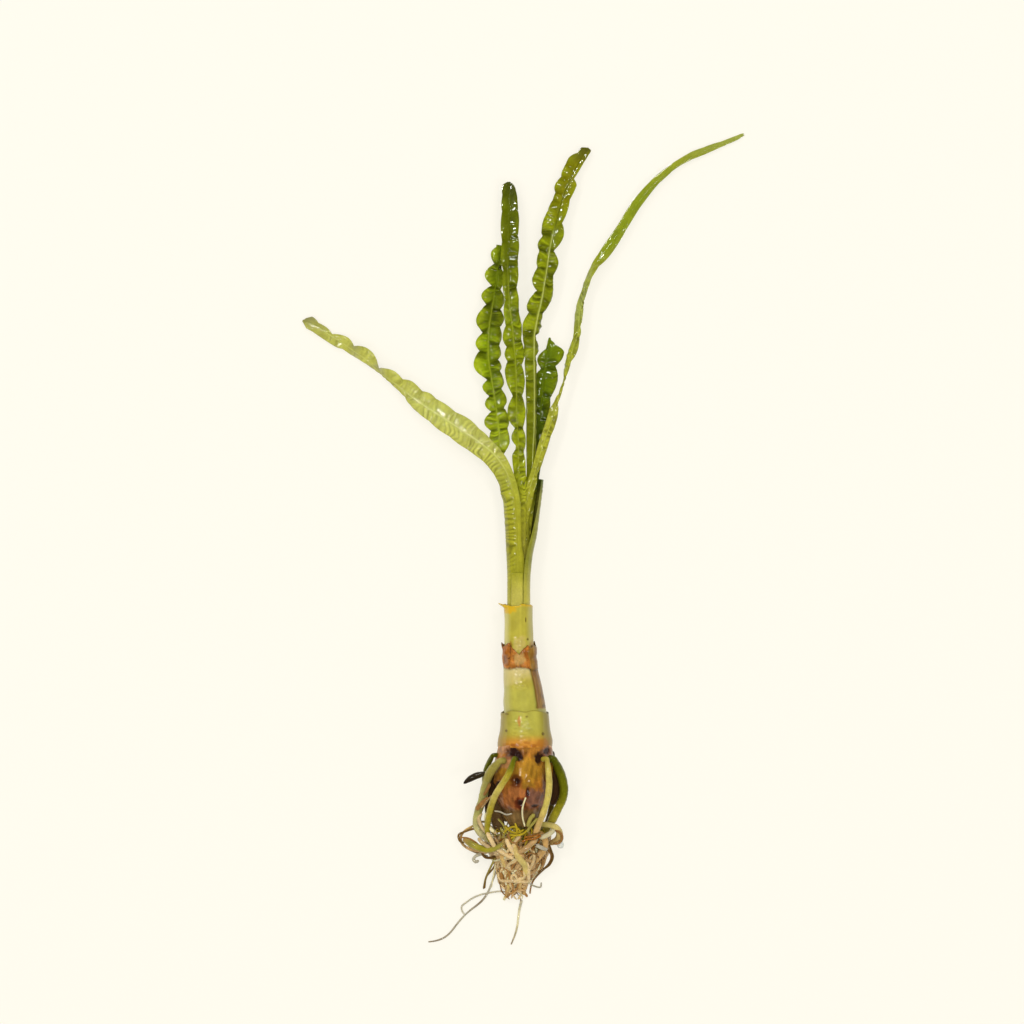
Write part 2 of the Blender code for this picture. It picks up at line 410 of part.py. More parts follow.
def running_mean(values):
    """Add up the middles between neighbours along each row, as shares of the whole row."""
    middles = (values[:, 1:] + values[:, :-1]) / 2
    start = np.zeros((len(values), 1))
    return np.concatenate([start, np.cumsum(middles, axis=1)], axis=1) / (HALF_SAMPLES - 1)


def leaf_half(rows, frame, places, side, start, across):
    """Points and normals of one half of a leaf, for each station and each share of its width."""
    origin, right, up = frame
    width = rows[:, 3] if side < 0 else rows[:, 4]
    rise = rows[:, 5] if side < 0 else rows[:, 6]
    cup, ruffle = rows[:, 7], rows[:, 9]
    wave = ruffle_wave(places, start)
    fine = np.linspace(0.0, 1.0, HALF_SAMPLES)
    angle = (rise[:, None] * (1 - cup[:, None] + 2 * cup[:, None] * fine[None, :])
             + (ruffle * wave)[:, None] * fine[None, :] ** RUFFLE_SPREAD)
    outward = running_mean(np.cos(angle))
    upward = running_mean(np.sin(angle))
    points, normals = [], []
    for share in across:
        pick = int(round(share * (HALF_SAMPLES - 1)))
        points.append(origin + right * (side * width * outward[:, pick])[:, None]
                      + up * (width * upward[:, pick])[:, None])
        normals.append(up * np.cos(angle[:, pick])[:, None]
                       - right * (side * np.sin(angle[:, pick]))[:, None])
    return np.stack(points, axis=1), np.stack(normals, axis=1)


def leaf_places(stations, steps_in_wave):
    """Places along a leaf: even parts of a wave in the blade, twice as far apart in the plain base."""
    length = row_length(stations)
    stride = WAVE_LENGTH / steps_in_wave
    places = np.arange(0.0, length - stride / 2, stride)
    base = smooth_rows(stations, places)[:, 1] < BASE_END_Y
    kept = [place for step, place in enumerate(places) if not base[step] or step % 2 == 0]
    return np.array(kept + [length - END_GAP])


def leaf_frame(stations, places):
    """Midrib points with the directions to the leaf's right and up, turned about the midrib."""
    rows = smooth_rows(stations, places)
    for column in STATION_ANGLES:
        rows[:, column] = np.radians(rows[:, column])
    rows[:, 3:5] = np.maximum(rows[:, 3:5], SMALLEST_HALF)
    tangent = unit(np.gradient(rows[:, :3], places, axis=0))
    up = unit(np.array([0.0, 0.0, 1.0]) - tangent * tangent[:, 2:3])
    right = np.cross(tangent, up)
    turn = rows[:, 8:9]
    turned_right = right * np.cos(turn) + up * np.sin(turn)
    turned_up = up * np.cos(turn) - right * np.sin(turn)
    return rows, (rows[:, :3], turned_right, turned_up)


def add_leaf(name, stations, columns, steps_in_wave, left_start, right_start, colour_name):
    """A leaf as a thin closed solid with sharp margins and a thicker midrib."""
    places = leaf_places(stations, steps_in_wave)
    rows, frame = leaf_frame(stations, places)
    across = np.linspace(0.0, 1.0, columns + 1)
    left, left_normals = leaf_half(rows, frame, places, -1, left_start, across)
    right, right_normals = leaf_half(rows, frame, places, 1, right_start, across)
    middle = np.concatenate([left[:, ::-1], right[:, 1:]], axis=1)
    normals = np.concatenate([left_normals[:, ::-1], right_normals[:, 1:]], axis=1)
    share = np.concatenate([-across[::-1], across[1:]])
    thick = LEAF_THICKNESS / 2 + RIB_THICKNESS / 2 * np.exp(-(share / RIB_WIDTH) ** 2)
    upper = middle + normals * thick[None, :, None]
    lower = middle - normals * thick[None, :, None]
    rings = np.concatenate([middle[:, :1], upper[:, 1:-1], middle[:, -1:], lower[:, -2:0:-1]], axis=1)
    faces = blade_faces(len(rings), rings.shape[1])
    add_object(name, rings.reshape(-1, 3), faces, colour_name)


def axis_at(y):
    """Centre of the bulb and the false stem at places along Y."""
    return np.stack([np.interp(y, AXIS_Y, AXIS_X), np.asarray(y, dtype=float),
                     np.interp(y, AXIS_Y, AXIS_Z)], axis=-1)


def ring_around(centre_y, radius, angles):
    """Points around the axis, at one place or one for each angle."""
    centre = axis_at(np.broadcast_to(centre_y, angles.shape))
    radius = np.broadcast_to(radius, angles.shape)
    offset = np.stack([np.cos(angles), np.zeros_like(angles), np.sin(angles)], axis=-1)
    return centre + offset * radius[:, None]


def rim_drop(angles, waves, notches):
    """How far a rim drops around the false stem: waves, and notches with straight sides."""
    drop = np.zeros_like(angles)
    for depth, count, start in waves:
        drop += depth * np.cos(count * angles - np.radians(start))
    for depth, middle, half_width in notches:
        away = np.angle(np.exp(1j * (angles - np.radians(middle))))
        drop += depth * np.clip(1 - np.abs(away) / np.radians(half_width), 0.0, 1.0)
    return drop


def add_sleeve(name, rows, waves, notches, colour_name):
    """A tube around the false stem with an uneven rim."""
    angles = np.linspace(0.0, 2 * np.pi, SLEEVE_SIDES, endpoint=False)
    rows = np.array(rows)
    bottom = rows[0, 0]
    top = rows[-1, 0] - rim_drop(angles, waves, notches)
    shares = (rows[:, 0] - bottom) / (rows[-1, 0] - bottom)
    outer, inner = [], []
    for share in shares:
        y = bottom + share * (top - bottom)
        outer.append(ring_around(y, np.interp(y, rows[:, 0], rows[:, 1]), angles))
        inner.append(ring_around(y, np.interp(y, rows[:, 0], rows[:, 2]), angles))
    rings = outer + inner[::-1]
    faces = []
    for ring in range(len(rings)):
        low, high = ring * SLEEVE_SIDES, ((ring + 1) % len(rings)) * SLEEVE_SIDES
        for step in range(SLEEVE_SIDES):
            following = (step + 1) % SLEEVE_SIDES
            faces.append((low + step, high + step, high + following, low + following))
    add_object(name, np.concatenate(rings), faces, colour_name)


def bulb_surface(y, angles):
    """Radius of the bulb, a little lumpy."""
    plain = np.interp(y, BULB_Y, BULB_RADIUS)
    return plain * (1 + BULB_LUMPS * np.sin(3 * angles) * np.cos(2 * angles))


def add_bulb():
    """The bulb with its basal plate, cut flat where it rests."""
    angles = np.linspace(0.0, 2 * np.pi, BULB_SIDES, endpoint=False)
    rings = [ring_around(y, bulb_surface(y, angles), angles) for y in BULB_Y]
    bulb = add_object("bulb", np.concatenate(rings), close_rings(len(rings), BULB_SIDES), "bulb_skin")
    work = bmesh.new()
    work.from_mesh(bulb.data)
    bmesh.ops.recalc_face_normals(work, faces=work.faces)
    cut = bmesh.ops.bisect_plane(work, geom=work.verts[:] + work.edges[:] + work.faces[:],
                                 dist=CUT_REACH, plane_co=(0, 0, 0), plane_no=(0, 0, -1),
                                 clear_outer=True)
    edges = [piece for piece in cut["geom_cut"] if isinstance(piece, bmesh.types.BMEdge)]
    bmesh.ops.contextual_create(work, geom=edges)
    bmesh.ops.recalc_face_normals(work, faces=work.faces)
    work.to_mesh(bulb.data)
    work.free()


def clear_bulb(points, radii):
    """Push root points out of the bulb."""
    centre = axis_at(points[:, 1])
    away = points - centre
    distance = np.linalg.norm(away[:, [0, 2]], axis=1)
    bulb = np.interp(points[:, 1], BULB_Y, BULB_RADIUS, left=0.0) * (1 + BULB_LUMPS)
    wanted = np.where(points[:, 1] < BASAL_END_Y, 0.0, bulb + radii + ROOT_CLEARANCE)
    scale = np.where(distance < wanted, wanted / np.maximum(distance, NEAR_AXIS), 1.0)
    pushed = centre + away * scale[:, None]
    pushed[:, 1] = points[:, 1]
    return pushed


def spread_roots(paths):
    """Move the roots apart until none touches another, the bulb or the ground."""
    points = np.concatenate([path[:, :3] for path in paths])
    radii = np.concatenate([path[:, 3] for path in paths])
    owner = np.concatenate([np.full(len(path), number) for number, path in enumerate(paths)])
    ends = np.cumsum([len(path) for path in paths])
    other = owner[:, None] != owner[None, :]
    reach = radii[:, None] + radii[None, :] + ROOT_CLEARANCE
    for _ in range(SPREAD_ROUNDS):
        between = points[:, None, :] - points[None, :, :]
        distance = np.linalg.norm(between, axis=2)
        lack = np.where(other, np.maximum(reach - distance, 0.0), 0.0)
        push = between / np.maximum(distance, END_GAP)[:, :, None] * (lack * SPREAD_SHARE)[:, :, None]
        strongest = np.argmax(lack, axis=1)
        points = points + push[np.arange(len(points)), strongest]
        points = clear_bulb(points, radii)
        for start, end in zip(np.concatenate([[0], ends[:-1]]), ends):
            run = points[start:end]
            run[1:-1] = KEPT_SHARE * run[1:-1] + (1 - KEPT_SHARE) / 2 * (run[:-2] + run[2:])
        points[:, 2] = np.maximum(points[:, 2], radii)
    spread = np.concatenate([points, radii[:, None]], axis=1)
    return [spread[start:end] for start, end in zip(np.concatenate([[0], ends[:-1]]), ends)]


def add_tube(name, path, sides, colour_name):
    """A round tube along points with radii."""
    points, radii = path[:, :3], path[:, 3]
    tangent = unit(np.gradient(points, axis=0))
    across = np.cross(tangent[0], TUBE_UP)
    angles = np.linspace(0.0, 2 * np.pi, sides, endpoint=False)
    rings = []
    for centre, direction, radius in zip(points, tangent, radii):
        across = unit(across - direction * np.dot(across, direction))
        upward = np.cross(direction, across)
        rings.append(centre + radius * (np.cos(angles)[:, None] * across + np.sin(angles)[:, None] * upward))
    add_object(name, np.concatenate(rings), close_rings(len(rings), sides), colour_name)


def add_roots():
    """All roots, spread apart and then thinned out to the points their tubes need."""
    fine = []
    for points, _ in ROOTS.values():
        length = row_length(points)
        fine.append(smooth_rows(points, np.linspace(0.0, length - END_GAP, int(length / FINE_STEP))))
    for (name, (_, colour_name)), path in zip(ROOTS.items(), spread_roots(fine)):
        count = max(FEWEST_STEPS, int(round(row_length(path) / ROOT_STEP)))
        picked = np.linspace(0, len(path) - 1, count + 1).round().astype(int)
        thin = path[:, 3].max() < THIN_ROOT_RADIUS
        add_tube(name, path[picked], THIN_ROOT_SIDES if thin else ROOT_SIDES, colour_name)


def build():
    """Make every piece of the plant."""
    clear_scene()
    add_bulb()
    for name, settings in SLEEVES.items():
        add_sleeve(name, *settings)
    for name, settings in LEAVES.items():
        add_leaf(name, *settings)
    add_roots()


build()
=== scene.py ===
"""Looks of a crinum plant that lies on a pale surface, seen from straight above.

Each piece is a fine mesh in the place of its solid, made from the same lists. The lists are in
millimetres and degrees, colours are 0 to 255 as on a screen, and the meshes are made in metres.
The plant's leaves point along +Y and its roots along -Y.
"""
import json
from itertools import product

import bpy
import numpy as np
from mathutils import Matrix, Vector

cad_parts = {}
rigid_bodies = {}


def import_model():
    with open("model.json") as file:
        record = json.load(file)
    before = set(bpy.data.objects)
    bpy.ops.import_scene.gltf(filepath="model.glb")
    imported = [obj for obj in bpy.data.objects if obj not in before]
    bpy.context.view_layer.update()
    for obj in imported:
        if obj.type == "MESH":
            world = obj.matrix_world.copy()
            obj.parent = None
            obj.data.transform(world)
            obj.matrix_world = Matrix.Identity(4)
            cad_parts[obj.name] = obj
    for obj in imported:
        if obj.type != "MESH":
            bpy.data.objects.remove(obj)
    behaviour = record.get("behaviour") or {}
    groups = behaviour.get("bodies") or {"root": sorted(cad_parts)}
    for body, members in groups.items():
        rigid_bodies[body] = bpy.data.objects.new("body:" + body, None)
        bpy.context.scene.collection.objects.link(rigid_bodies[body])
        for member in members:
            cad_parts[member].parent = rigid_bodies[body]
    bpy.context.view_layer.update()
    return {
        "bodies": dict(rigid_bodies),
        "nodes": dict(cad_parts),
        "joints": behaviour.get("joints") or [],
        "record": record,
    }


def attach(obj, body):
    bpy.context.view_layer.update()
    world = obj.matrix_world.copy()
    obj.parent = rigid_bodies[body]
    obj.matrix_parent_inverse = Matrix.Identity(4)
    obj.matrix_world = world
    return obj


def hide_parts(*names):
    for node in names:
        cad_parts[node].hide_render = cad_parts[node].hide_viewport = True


MM = 0.001

# The camera looks straight down on the middle of the view.
CAMERA_X = -4.23
CAMERA_Y = 10.12
CAMERA_HEIGHT = 2103.5
CAMERA_LENS = 200.0
CAMERA_SENSOR = 36.0
CAMERA_NEAR = 100.0
CAMERA_FAR = 20000.0

# Light from all around, and lights with their power in watts, place and size in millimetres, whether
# they light matt skins, and whether they glint on wet ones.
SURROUND_STRENGTH = 0.5
LIGHTS = {
    "ceiling_light": (39.0, (0, 0, 2800), (2600, 2600), True, False),
    "key_light": (8.5, (-760, 1050, 1800), (240, 240), True, True),
    "right_light": (4.5, (500, 900, 1800), (200, 200), True, False),
    "low_right_light": (3.5, (800, -500, 1700), (180, 180), True, True),
    "low_left_light": (3.5, (-1000, -300, 1700), (180, 180), True, True),
    "glint_strip": (9.0, (-200, 850, 1900), (240, 90), False, True),
}

# The bulb and the false stem follow one bent axis: place along Y, then sideways place and height.
AXIS_Y = [-106.0, -88.5, -74.0, -68.0, -63.5, -55.4, -48.0, -42.5, -37.0, -23.7, -12.0]
AXIS_X = [-0.2, -0.2, 0.7, 0.6, 0.6, -0.1, -1.0, -1.5, -1.8, -1.9, -1.7]
AXIS_Z = [10.4, 10.4, 10.7, 10.8, 10.9, 10.7, 10.2, 9.8, 9.5, 8.8, 8.3]

# Bulb: place along Y and radius, from under the basal plate up to the point inside the sheaths, and the
# share of the radius by which it is out of round.
BULB_Y = [-105.6, -104.3, -100.4, -99.2, -97.6, -94.0, -88.5, -83.0, -77.5, -75.2, -74.2, -67.6, -60.0,
          -50.0, -45.0, -43.6]
BULB_RADIUS = [4.6, 6.0, 6.8, 7.5, 8.8, 10.4, 11.2, 11.1, 10.4, 9.9, 8.6, 6.9, 6.2, 5.3, 4.4, 2.0]
BULB_LUMPS = 0.02

# Sleeves: place along Y, outer radius and inner radius, from the lower edge up to the rim.
LOWER_SHEATH = [
    (-76.2, 9.9, 9.0), (-74.8, 10.0, 9.0), (-73.4, 9.95, 9.2), (-68.3, 9.2, 8.5), (-62.6, 8.5, 8.15),
]
MIDDLE_SHEATH = [
    (-67.0, 7.8, 7.35), (-60.0, 7.65, 6.6), (-54.0, 7.2, 6.1), (-48.0, 6.35, 5.75), (-42.5, 6.3, 5.75),
    (-37.6, 6.05, 5.75),
]
UPPER_SHEATH = [(-42.0, 5.3, 4.95), (-37.0, 5.45, 4.95), (-29.6, 5.35, 4.95), (-23.6, 5.25, 4.95)]

# Rims: how far the upper edge of each sleeve drops. Each wave has its depth, how many times it goes
# around, and where it starts. Each notch has its depth, its middle and half its width. Angles are
# from the right side over the front, and a negative depth is a raised flap.
LOWER_RIM_WAVES = [(0.6, 0, 0), (0.5, 2, 0), (0.3, 5, 90)]
MIDDLE_RIM_WAVES = [(0.8, 0, 0), (0.6, 3, 90), (0.3, 7, 0)]
UPPER_RIM_WAVES = [(0.5, 0, 0), (0.3, 3, 0)]
MIDDLE_RIM_NOTCH = (5.0, 90, 34)
UPPER_RIM_FLAP = (-0.4, 180, 29)

# Each sleeve: its rows, the waves and the notches of its rim, and how jagged the rim is.
SLEEVES = {
    "sheath_lower": (LOWER_SHEATH, LOWER_RIM_WAVES, [], 0.25),
    "sheath_middle": (MIDDLE_SHEATH, MIDDLE_RIM_WAVES, [MIDDLE_RIM_NOTCH], 0.7),
    "sheath_upper": (UPPER_SHEATH, UPPER_RIM_WAVES, [UPPER_RIM_FLAP], 0.3),
}

# Leaf stations run from the base to the tip. Columns: x, y, z of the midrib, width of the left and
# of the right half, mean rise of the left and of the right half, cup, turn about the midrib, ruffle.
# Cup 0 is a straight half, and cup 1 is a round arc. Widths in mm, angles in degrees.
LEFT_LEAF = [
    (-1.9, -31.0, 12.3, 7.2, 4.2, -51, -35, 1.0, 0, 0),
    (-1.9, -22.3, 11.9, 7.2, 4.2, -51, -35, 1.0, 0, 0),
    (-1.9, -12.3, 11.4, 7.2, 4.1, -51, -34, 1.0, 0, 0),
    (-2.1, -2.0, 11.2, 7.4, 1.7, -49, -22, 1.0, 0, 0),
    (-2.5, 7.2, 11.2, 6.8, 1.8, -44, -18, 1.0, 0, 0),
    (-3.1, 14.5, 10.9, 5.9, 1.9, -35, -12, 1.0, 0, 4),
    (-4.6, 20.8, 10.6, 5.1, 2.0, -25, -8, 0.8, 0, 8),
    (-7.2, 26.7, 10.3, 4.7, 2.4, -16, -6, 0.6, 0, 12),
    (-10.5, 31.1, 9.9, 4.7, 3.0, -10, -5, 0.5, 0, 16),
    (-16.7, 36.2, 9.1, 4.9, 3.7, -6, -5, 0.4, 0, 20),
    (-23.4, 40.7, 8.2, 4.7, 4.3, -5, -5, 0.3, 0, 24),
    (-30.4, 45.4, 7.2, 4.4, 4.5, -5, -5, 0.3, 0, 26),
    (-36.2, 49.1, 6.3, 4.2, 4.4, -5, -5, 0.3, 5, 28),
    (-42.1, 53.2, 5.4, 4.0, 4.2, -5, -5, 0.3, 10, 30),
    (-48.4, 58.3, 4.6, 3.0, 3.2, -5, -5, 0.3, 35, 30),
    (-53.5, 62.4, 4.0, 2.7, 2.7, 0, 0, 0.3, 68, 25),
    (-58.0, 66.4, 3.5, 2.8, 2.8, 0, 0, 0.3, 25, 30),
    (-62.0, 69.4, 3.1, 2.7, 2.6, 0, 0, 0.3, 55, 25),
    (-67.5, 73.0, 2.6, 2.5, 2.4, 5, 5, 0.3, 15, 30),
    (-73.0, 76.4, 2.0, 2.2, 2.1, 5, 5, 0.3, 0, 28),
    (-77.8, 79.3, 1.5, 1.7, 1.9, 10, 20, 0.3, 0, 20),
    (-81.5, 81.1, 1.2, 0.3, 0.3, 10, 20, 0.3, 0, 0),
]
UPRIGHT_LEAF = [
    (-2.2, -31.0, 10.5, 1.9, 2.1, 6, 8, 0.5, 0, 0),
    (-2.2, -22.3, 10.1, 1.9, 2.1, 6, 8, 0.5, 0, 0),
    (-2.3, -12.3, 9.6, 1.9, 2.1, 6, 8, 0.5, 0, 0),
    (-3.0, -2.0, 9.2, 1.8, 2.0, 2, 4, 0.5, 0, 0),
    (-3.9, 7.2, 8.6, 1.8, 1.8, 0, 0, 0.5, 0, 0),
    (-5.2, 14.5, 7.6, 2.0, 1.9, 0, 0, 0.5, 0, 0),
    (-6.9, 21.9, 7.0, 2.2, 2.0, 0, 0, 0.5, 0, 0),
    (-8.5, 29.3, 6.4, 2.3, 1.2, 0, 0, 0.5, 0, 8),
    (-8.8, 34.2, 6.0, 3.0, 2.0, 8, 0, 0.4, 0, 18),
    (-8.9, 38.4, 5.7, 3.4, 3.9, 15, 6, 0.3, 0, 32),
    (-9.8, 45.8, 5.2, 3.8, 4.3, 24, 12, 0.3, 0, 46),
    (-10.9, 53.5, 4.7, 4.2, 4.4, 26, 14, 0.3, 0, 48),
    (-12.0, 60.2, 4.3, 4.9, 4.4, 26, 14, 0.3, 0, 48),
    (-12.7, 64.6, 4.1, 5.3, 4.4, 26, 14, 0.3, 0, 48),
    (-13.1, 70.5, 3.9, 5.1, 4.4, 26, 14, 0.3, 0, 48),
    (-12.7, 78.6, 3.6, 5.0, 4.4, 26, 10, 0.3, 0, 46),
    (-11.2, 88.1, 3.3, 4.7, 4.2, 24, 2, 0.3, 0, 42),
    (-9.8, 97.3, 3.0, 4.4, 3.6, 22, 0, 0.3, 0, 38),
    (-8.6, 104.7, 2.7, 3.7, 2.6, 18, 0, 0.3, 0, 32),
    (-8.1, 108.6, 2.5, 1.2, 1.0, 10, 0, 0.3, 0, 0),
]
CENTRE_LEAF = [
    (-2.0, -31.0, 9.6, 2.6, 2.6, 8, 8, 0.5, 0, 0),
    (-2.0, -22.3, 9.2, 2.6, 2.6, 8, 8, 0.5, 0, 0),
    (-1.8, -12.3, 8.7, 2.6, 2.6, 8, 8, 0.5, 0, 0),
    (-1.5, -2.0, 8.4, 2.4, 2.3, 5, 5, 0.5, 0, 0),
    (-1.3, 7.2, 7.6, 2.0, 2.2, 0, 0, 0.5, 0, 0),
    (-1.3, 14.5, 7.4, 1.6, 2.4, 0, 0, 0.5, 0, 4),
    (-1.7, 21.5, 8.1, 1.8, 2.8, 5, 0, 0.5, 0, 12),
    (-1.9, 29.0, 8.6, 2.2, 2.6, 10, 0, 0.4, 0, 20),
    (-2.0, 36.6, 9.0, 2.7, 2.7, 15, 6, 0.3, 0, 30),
    (-2.6, 45.8, 9.1, 3.1, 3.1, 18, 8, 0.3, 0, 38),
    (-2.6, 55.4, 9.1, 3.2, 3.1, 18, 8, 0.3, 0, 40),
    (-2.8, 62.4, 9.1, 3.8, 3.1, 18, 8, 0.3, 0, 40),
    (-3.5, 71.6, 8.9, 3.8, 3.2, 18, 8, 0.3, 0, 40),
    (-4.3, 79.7, 8.7, 3.5, 3.3, 18, 10, 0.3, 0, 38),
    (-5.1, 85.2, 8.5, 3.5, 3.5, 16, 10, 0.3, 0, 34),
    (-5.6, 93.3, 8.1, 3.3, 3.5, 14, 10, 0.3, 0, 28),
    (-5.9, 102.9, 7.6, 3.1, 3.7, 12, 10, 0.3, 0, 22),
    (-5.5, 110.2, 7.1, 3.0, 3.6, 12, 10, 0.3, 0, 18),
    (-5.2, 119.4, 6.3, 2.9, 3.3, 12, 10, 0.3, 0, 12),
    (-5.0, 126.8, 5.5, 2.6, 2.8, 12, 10, 0.3, 0, 8),
    (-5.0, 130.2, 5.1, 1.9, 2.0, 12, 10, 0.3, 0, 4),
    (-5.0, 131.9, 4.9, 0.5, 0.5, 12, 10, 0.3, 0, 0),
]
ARCHING_LEAF = [
    (-1.6, -31.0, 8.7, 2.7, 2.7, 8, 8, 0.5, 0, 0),
    (-1.5, -22.3, 8.3, 2.7, 2.7, 8, 8, 0.5, 0, 0),
    (-1.2, -12.3, 7.8, 2.7, 2.7, 8, 8, 0.5, 0, 0),
    (-0.4, -2.0, 7.5, 2.4, 2.0, 5, 5, 0.5, 0, 0),
    (0.1, 7.2, 6.7, 1.8, 1.7, 0, 0, 0.5, 0, 0),
    (1.3, 14.5, 6.5, 1.7, 2.0, 0, 0, 0.5, 0, 0),
    (2.9, 20.6, 7.2, 1.6, 1.9, 0, 0, 0.5, 0, 0),
    (5.0, 27.4, 7.9, 1.5, 2.2, 0, 0, 0.4, 0, 6),
    (7.2, 34.8, 8.3, 1.8, 2.3, 0, -10, 0.3, 0, 16),
    (9.8, 42.1, 8.1, 1.9, 2.4, 0, -10, 0.3, 0, 22),
    (12.0, 49.9, 7.7, 1.7, 2.1, 0, 0, 0.3, 15, 24),
    (13.8, 54.3, 7.4, 1.3, 1.3, 0, 0, 0.3, 60, 20),
    (14.9, 58.0, 7.2, 1.4, 1.3, 0, 0, 0.3, 75, 20),
    (16.7, 63.8, 6.9, 1.7, 1.5, 0, 0, 0.3, 55, 26),
    (18.2, 69.7, 6.6, 1.8, 1.6, 0, 0, 0.3, 35, 30),
    (20.1, 76.4, 6.3, 1.8, 1.7, 0, 0, 0.3, 30, 30),
    (21.2, 84.5, 5.9, 1.7, 1.6, 0, 0, 0.3, 35, 26),
    (23.0, 92.9, 5.4, 1.4, 1.4, 0, 0, 0.3, 45, 20),
    (26.0, 100.6, 4.9, 1.3, 1.2, 0, 0, 0.3, 50, 12),
    (29.3, 105.2, 4.6, 2.1, 2.1, 0, 0, 0.3, 10, 12),
    (35.5, 113.6, 4.1, 2.3, 2.2, 8, 8, 0.3, 0, 14),
    (42.9, 124.9, 3.5, 1.9, 1.8, 8, 8, 0.3, 0, 12),
    (48.4, 131.2, 3.1, 1.4, 1.3, 8, 8, 0.3, 0, 8),
    (54.6, 136.2, 2.7, 1.1, 1.0, 5, 5, 0.3, 0, 6),
    (61.3, 140.6, 2.2, 1.0, 1.0, 5, 5, 0.3, 0, 6),
    (70.5, 145.0, 1.6, 1.1, 1.1, 5, 5, 0.3, 0, 6),
    (81.5, 149.6, 0.9, 0.3, 0.3, 5, 5, 0.3, 0, 0),
]
RIGHT_LEAF = [
    (-1.4, -31.0, 7.8, 2.6, 2.5, 8, 8, 0.5, 0, 0),
    (-1.2, -22.3, 7.4, 2.6, 2.5, 8, 8, 0.5, 0, 0),
    (-1.1, -12.3, 6.9, 2.6, 2.4, 8, 8, 0.5, 0, 0),
    (-0.2, -2.0, 6.6, 2.5, 2.3, 5, 5, 0.5, 0, 0),
    (0.7, 7.2, 5.8, 2.2, 1.6, 0, 0, 0.5, 0, 0),
    (2.0, 14.5, 5.7, 2.0, 1.6, 0, 0, 0.5, 0, 0),
    (3.0, 21.9, 6.4, 2.0, 1.6, 0, -10, 0.5, 0, 0),
    (3.5, 33.3, 7.2, 2.5, 1.6, 4, -40, 0.4, 0, 4),
    (3.9, 41.0, 7.4, 2.9, 1.7, 6, -60, 0.3, 0, 6),
    (4.0, 50.6, 7.6, 3.1, 1.8, 6, -65, 0.3, 0, 8),
    (4.0, 62.0, 7.7, 3.4, 1.9, 6, -65, 0.3, 0, 14),
    (3.9, 70.5, 7.8, 3.9, 2.0, 10, -62, 0.3, 0, 26),
    (4.2, 76.4, 7.8, 4.2, 2.2, 14, -58, 0.3, 0, 34),
    (5.0, 81.0, 7.6, 4.6, 2.6, 16, -50, 0.3, 0, 38),
    (6.2, 86.0, 7.4, 4.6, 3.0, 18, -20, 0.3, 0, 40),
    (7.4, 92.6, 7.1, 4.3, 3.6, 18, 4, 0.3, 0, 40),
    (8.5, 98.8, 6.8, 4.4, 3.8, 18, 14, 0.3, 0, 40),
    (9.2, 104.0, 6.5, 4.4, 3.8, 18, 16, 0.3, 0, 40),
    (10.5, 111.0, 6.1, 4.3, 4.0, 18, 16, 0.3, 0, 40),
    (12.5, 118.4, 5.5, 4.1, 3.8, 16, 16, 0.3, 0, 38),
    (13.8, 123.8, 5.1, 3.6, 3.4, 14, 16, 0.3, 0, 34),
    (15.6, 129.0, 4.7, 3.5, 3.4, 12, 16, 0.3, 0, 30),
    (17.5, 133.4, 4.2, 3.2, 3.0, 10, 14, 0.3, 0, 26),
    (19.7, 137.6, 3.7, 2.7, 2.5, 10, 12, 0.3, 0, 20),
    (22.6, 142.2, 3.0, 1.9, 1.6, 8, 10, 0.3, 0, 10),
    (24.4, 144.2, 2.7, 0.4, 0.4, 0, 0, 0.3, 0, 0),
]
SHORT_LEAF = [
    (-1.5, -31.0, 6.9, 2.1, 2.1, 8, 8, 0.5, 0, 0),
    (-1.3, -22.3, 6.5, 2.1, 2.1, 8, 8, 0.5, 0, 0),
    (-1.1, -12.3, 6.0, 2.1, 2.1, 8, 8, 0.5, 0, 0),
    (0.2, -2.0, 5.7, 2.0, 2.0, 6, 6, 0.5, 0, 0),
    (1.6, 7.2, 4.9, 1.7, 1.7, 4, 4, 0.5, 0, 0),
    (2.8, 14.5, 4.9, 1.7, 1.6, 0, 0, 0.5, 0, 0),
    (3.9, 21.9, 5.2, 1.9, 1.7, 0, 0, 0.5, 0, 0),
    (4.7, 31.1, 4.7, 2.6, 2.4, 0, 0, 0.4, 0, 10),
    (6.0, 44.0, 4.0, 3.7, 3.9, 4, 4, 0.3, 0, 26),
    (6.9, 54.0, 3.6, 4.0, 4.6, 4, 6, 0.3, 0, 34),
    (7.6, 61.0, 3.5, 4.2, 4.8, 4, 6, 0.3, 0, 36),
    (8.5, 66.4, 3.4, 4.0, 4.9, 4, 6, 0.3, 0, 36),
    (9.2, 70.5, 3.3, 2.6, 4.6, 4, 6, 0.3, 0, 30),
    (9.8, 74.5, 3.2, 0.5, 0.6, 0, 0, 0.3, 0, 0),
]
CUT_LEAF = [
    (-1.9, -31.0, 5.0, 4.6, 11.5, 30, 77, 1.0, 0, 0),
    (-1.9, -22.3, 4.6, 4.6, 11.5, 30, 77, 1.0, 0, 0),
    (-1.7, -12.3, 4.1, 4.6, 11.5, 30, 77, 1.0, 0, 0),
    (-0.8, -4.5, 3.7, 4.5, 11.4, 30, 76, 1.0, 0, 0),
    (0.4, 1.0, 3.4, 4.4, 11.1, 30, 74, 1.0, 0, 0),
    (2.1, 10.9, 3.1, 3.8, 9.4, 27, 67, 1.0, 0, 0),
    (3.9, 22.6, 3.2, 3.2, 8.1, 24, 64, 1.0, 0, 0),
]
FRONT_STUMP = [
    (-2.4, -34.0, 13.6, 2.3, 2.2, -15, -15, 1.0, 6, 0),
    (-2.4, -23.7, 13.05, 2.3, 2.2, -15, -15, 1.0, 6, 0),
    (-2.3, -12.3, 12.5, 2.2, 2.1, -14, -14, 1.0, 6, 0),
]

# Columns of the stations after the midrib's x, y and z, those in pairs for the left and the right half.
WIDTHS, RISES, CUP, TURN, RUFFLE = [3, 4], [5, 6], 7, 8, 9

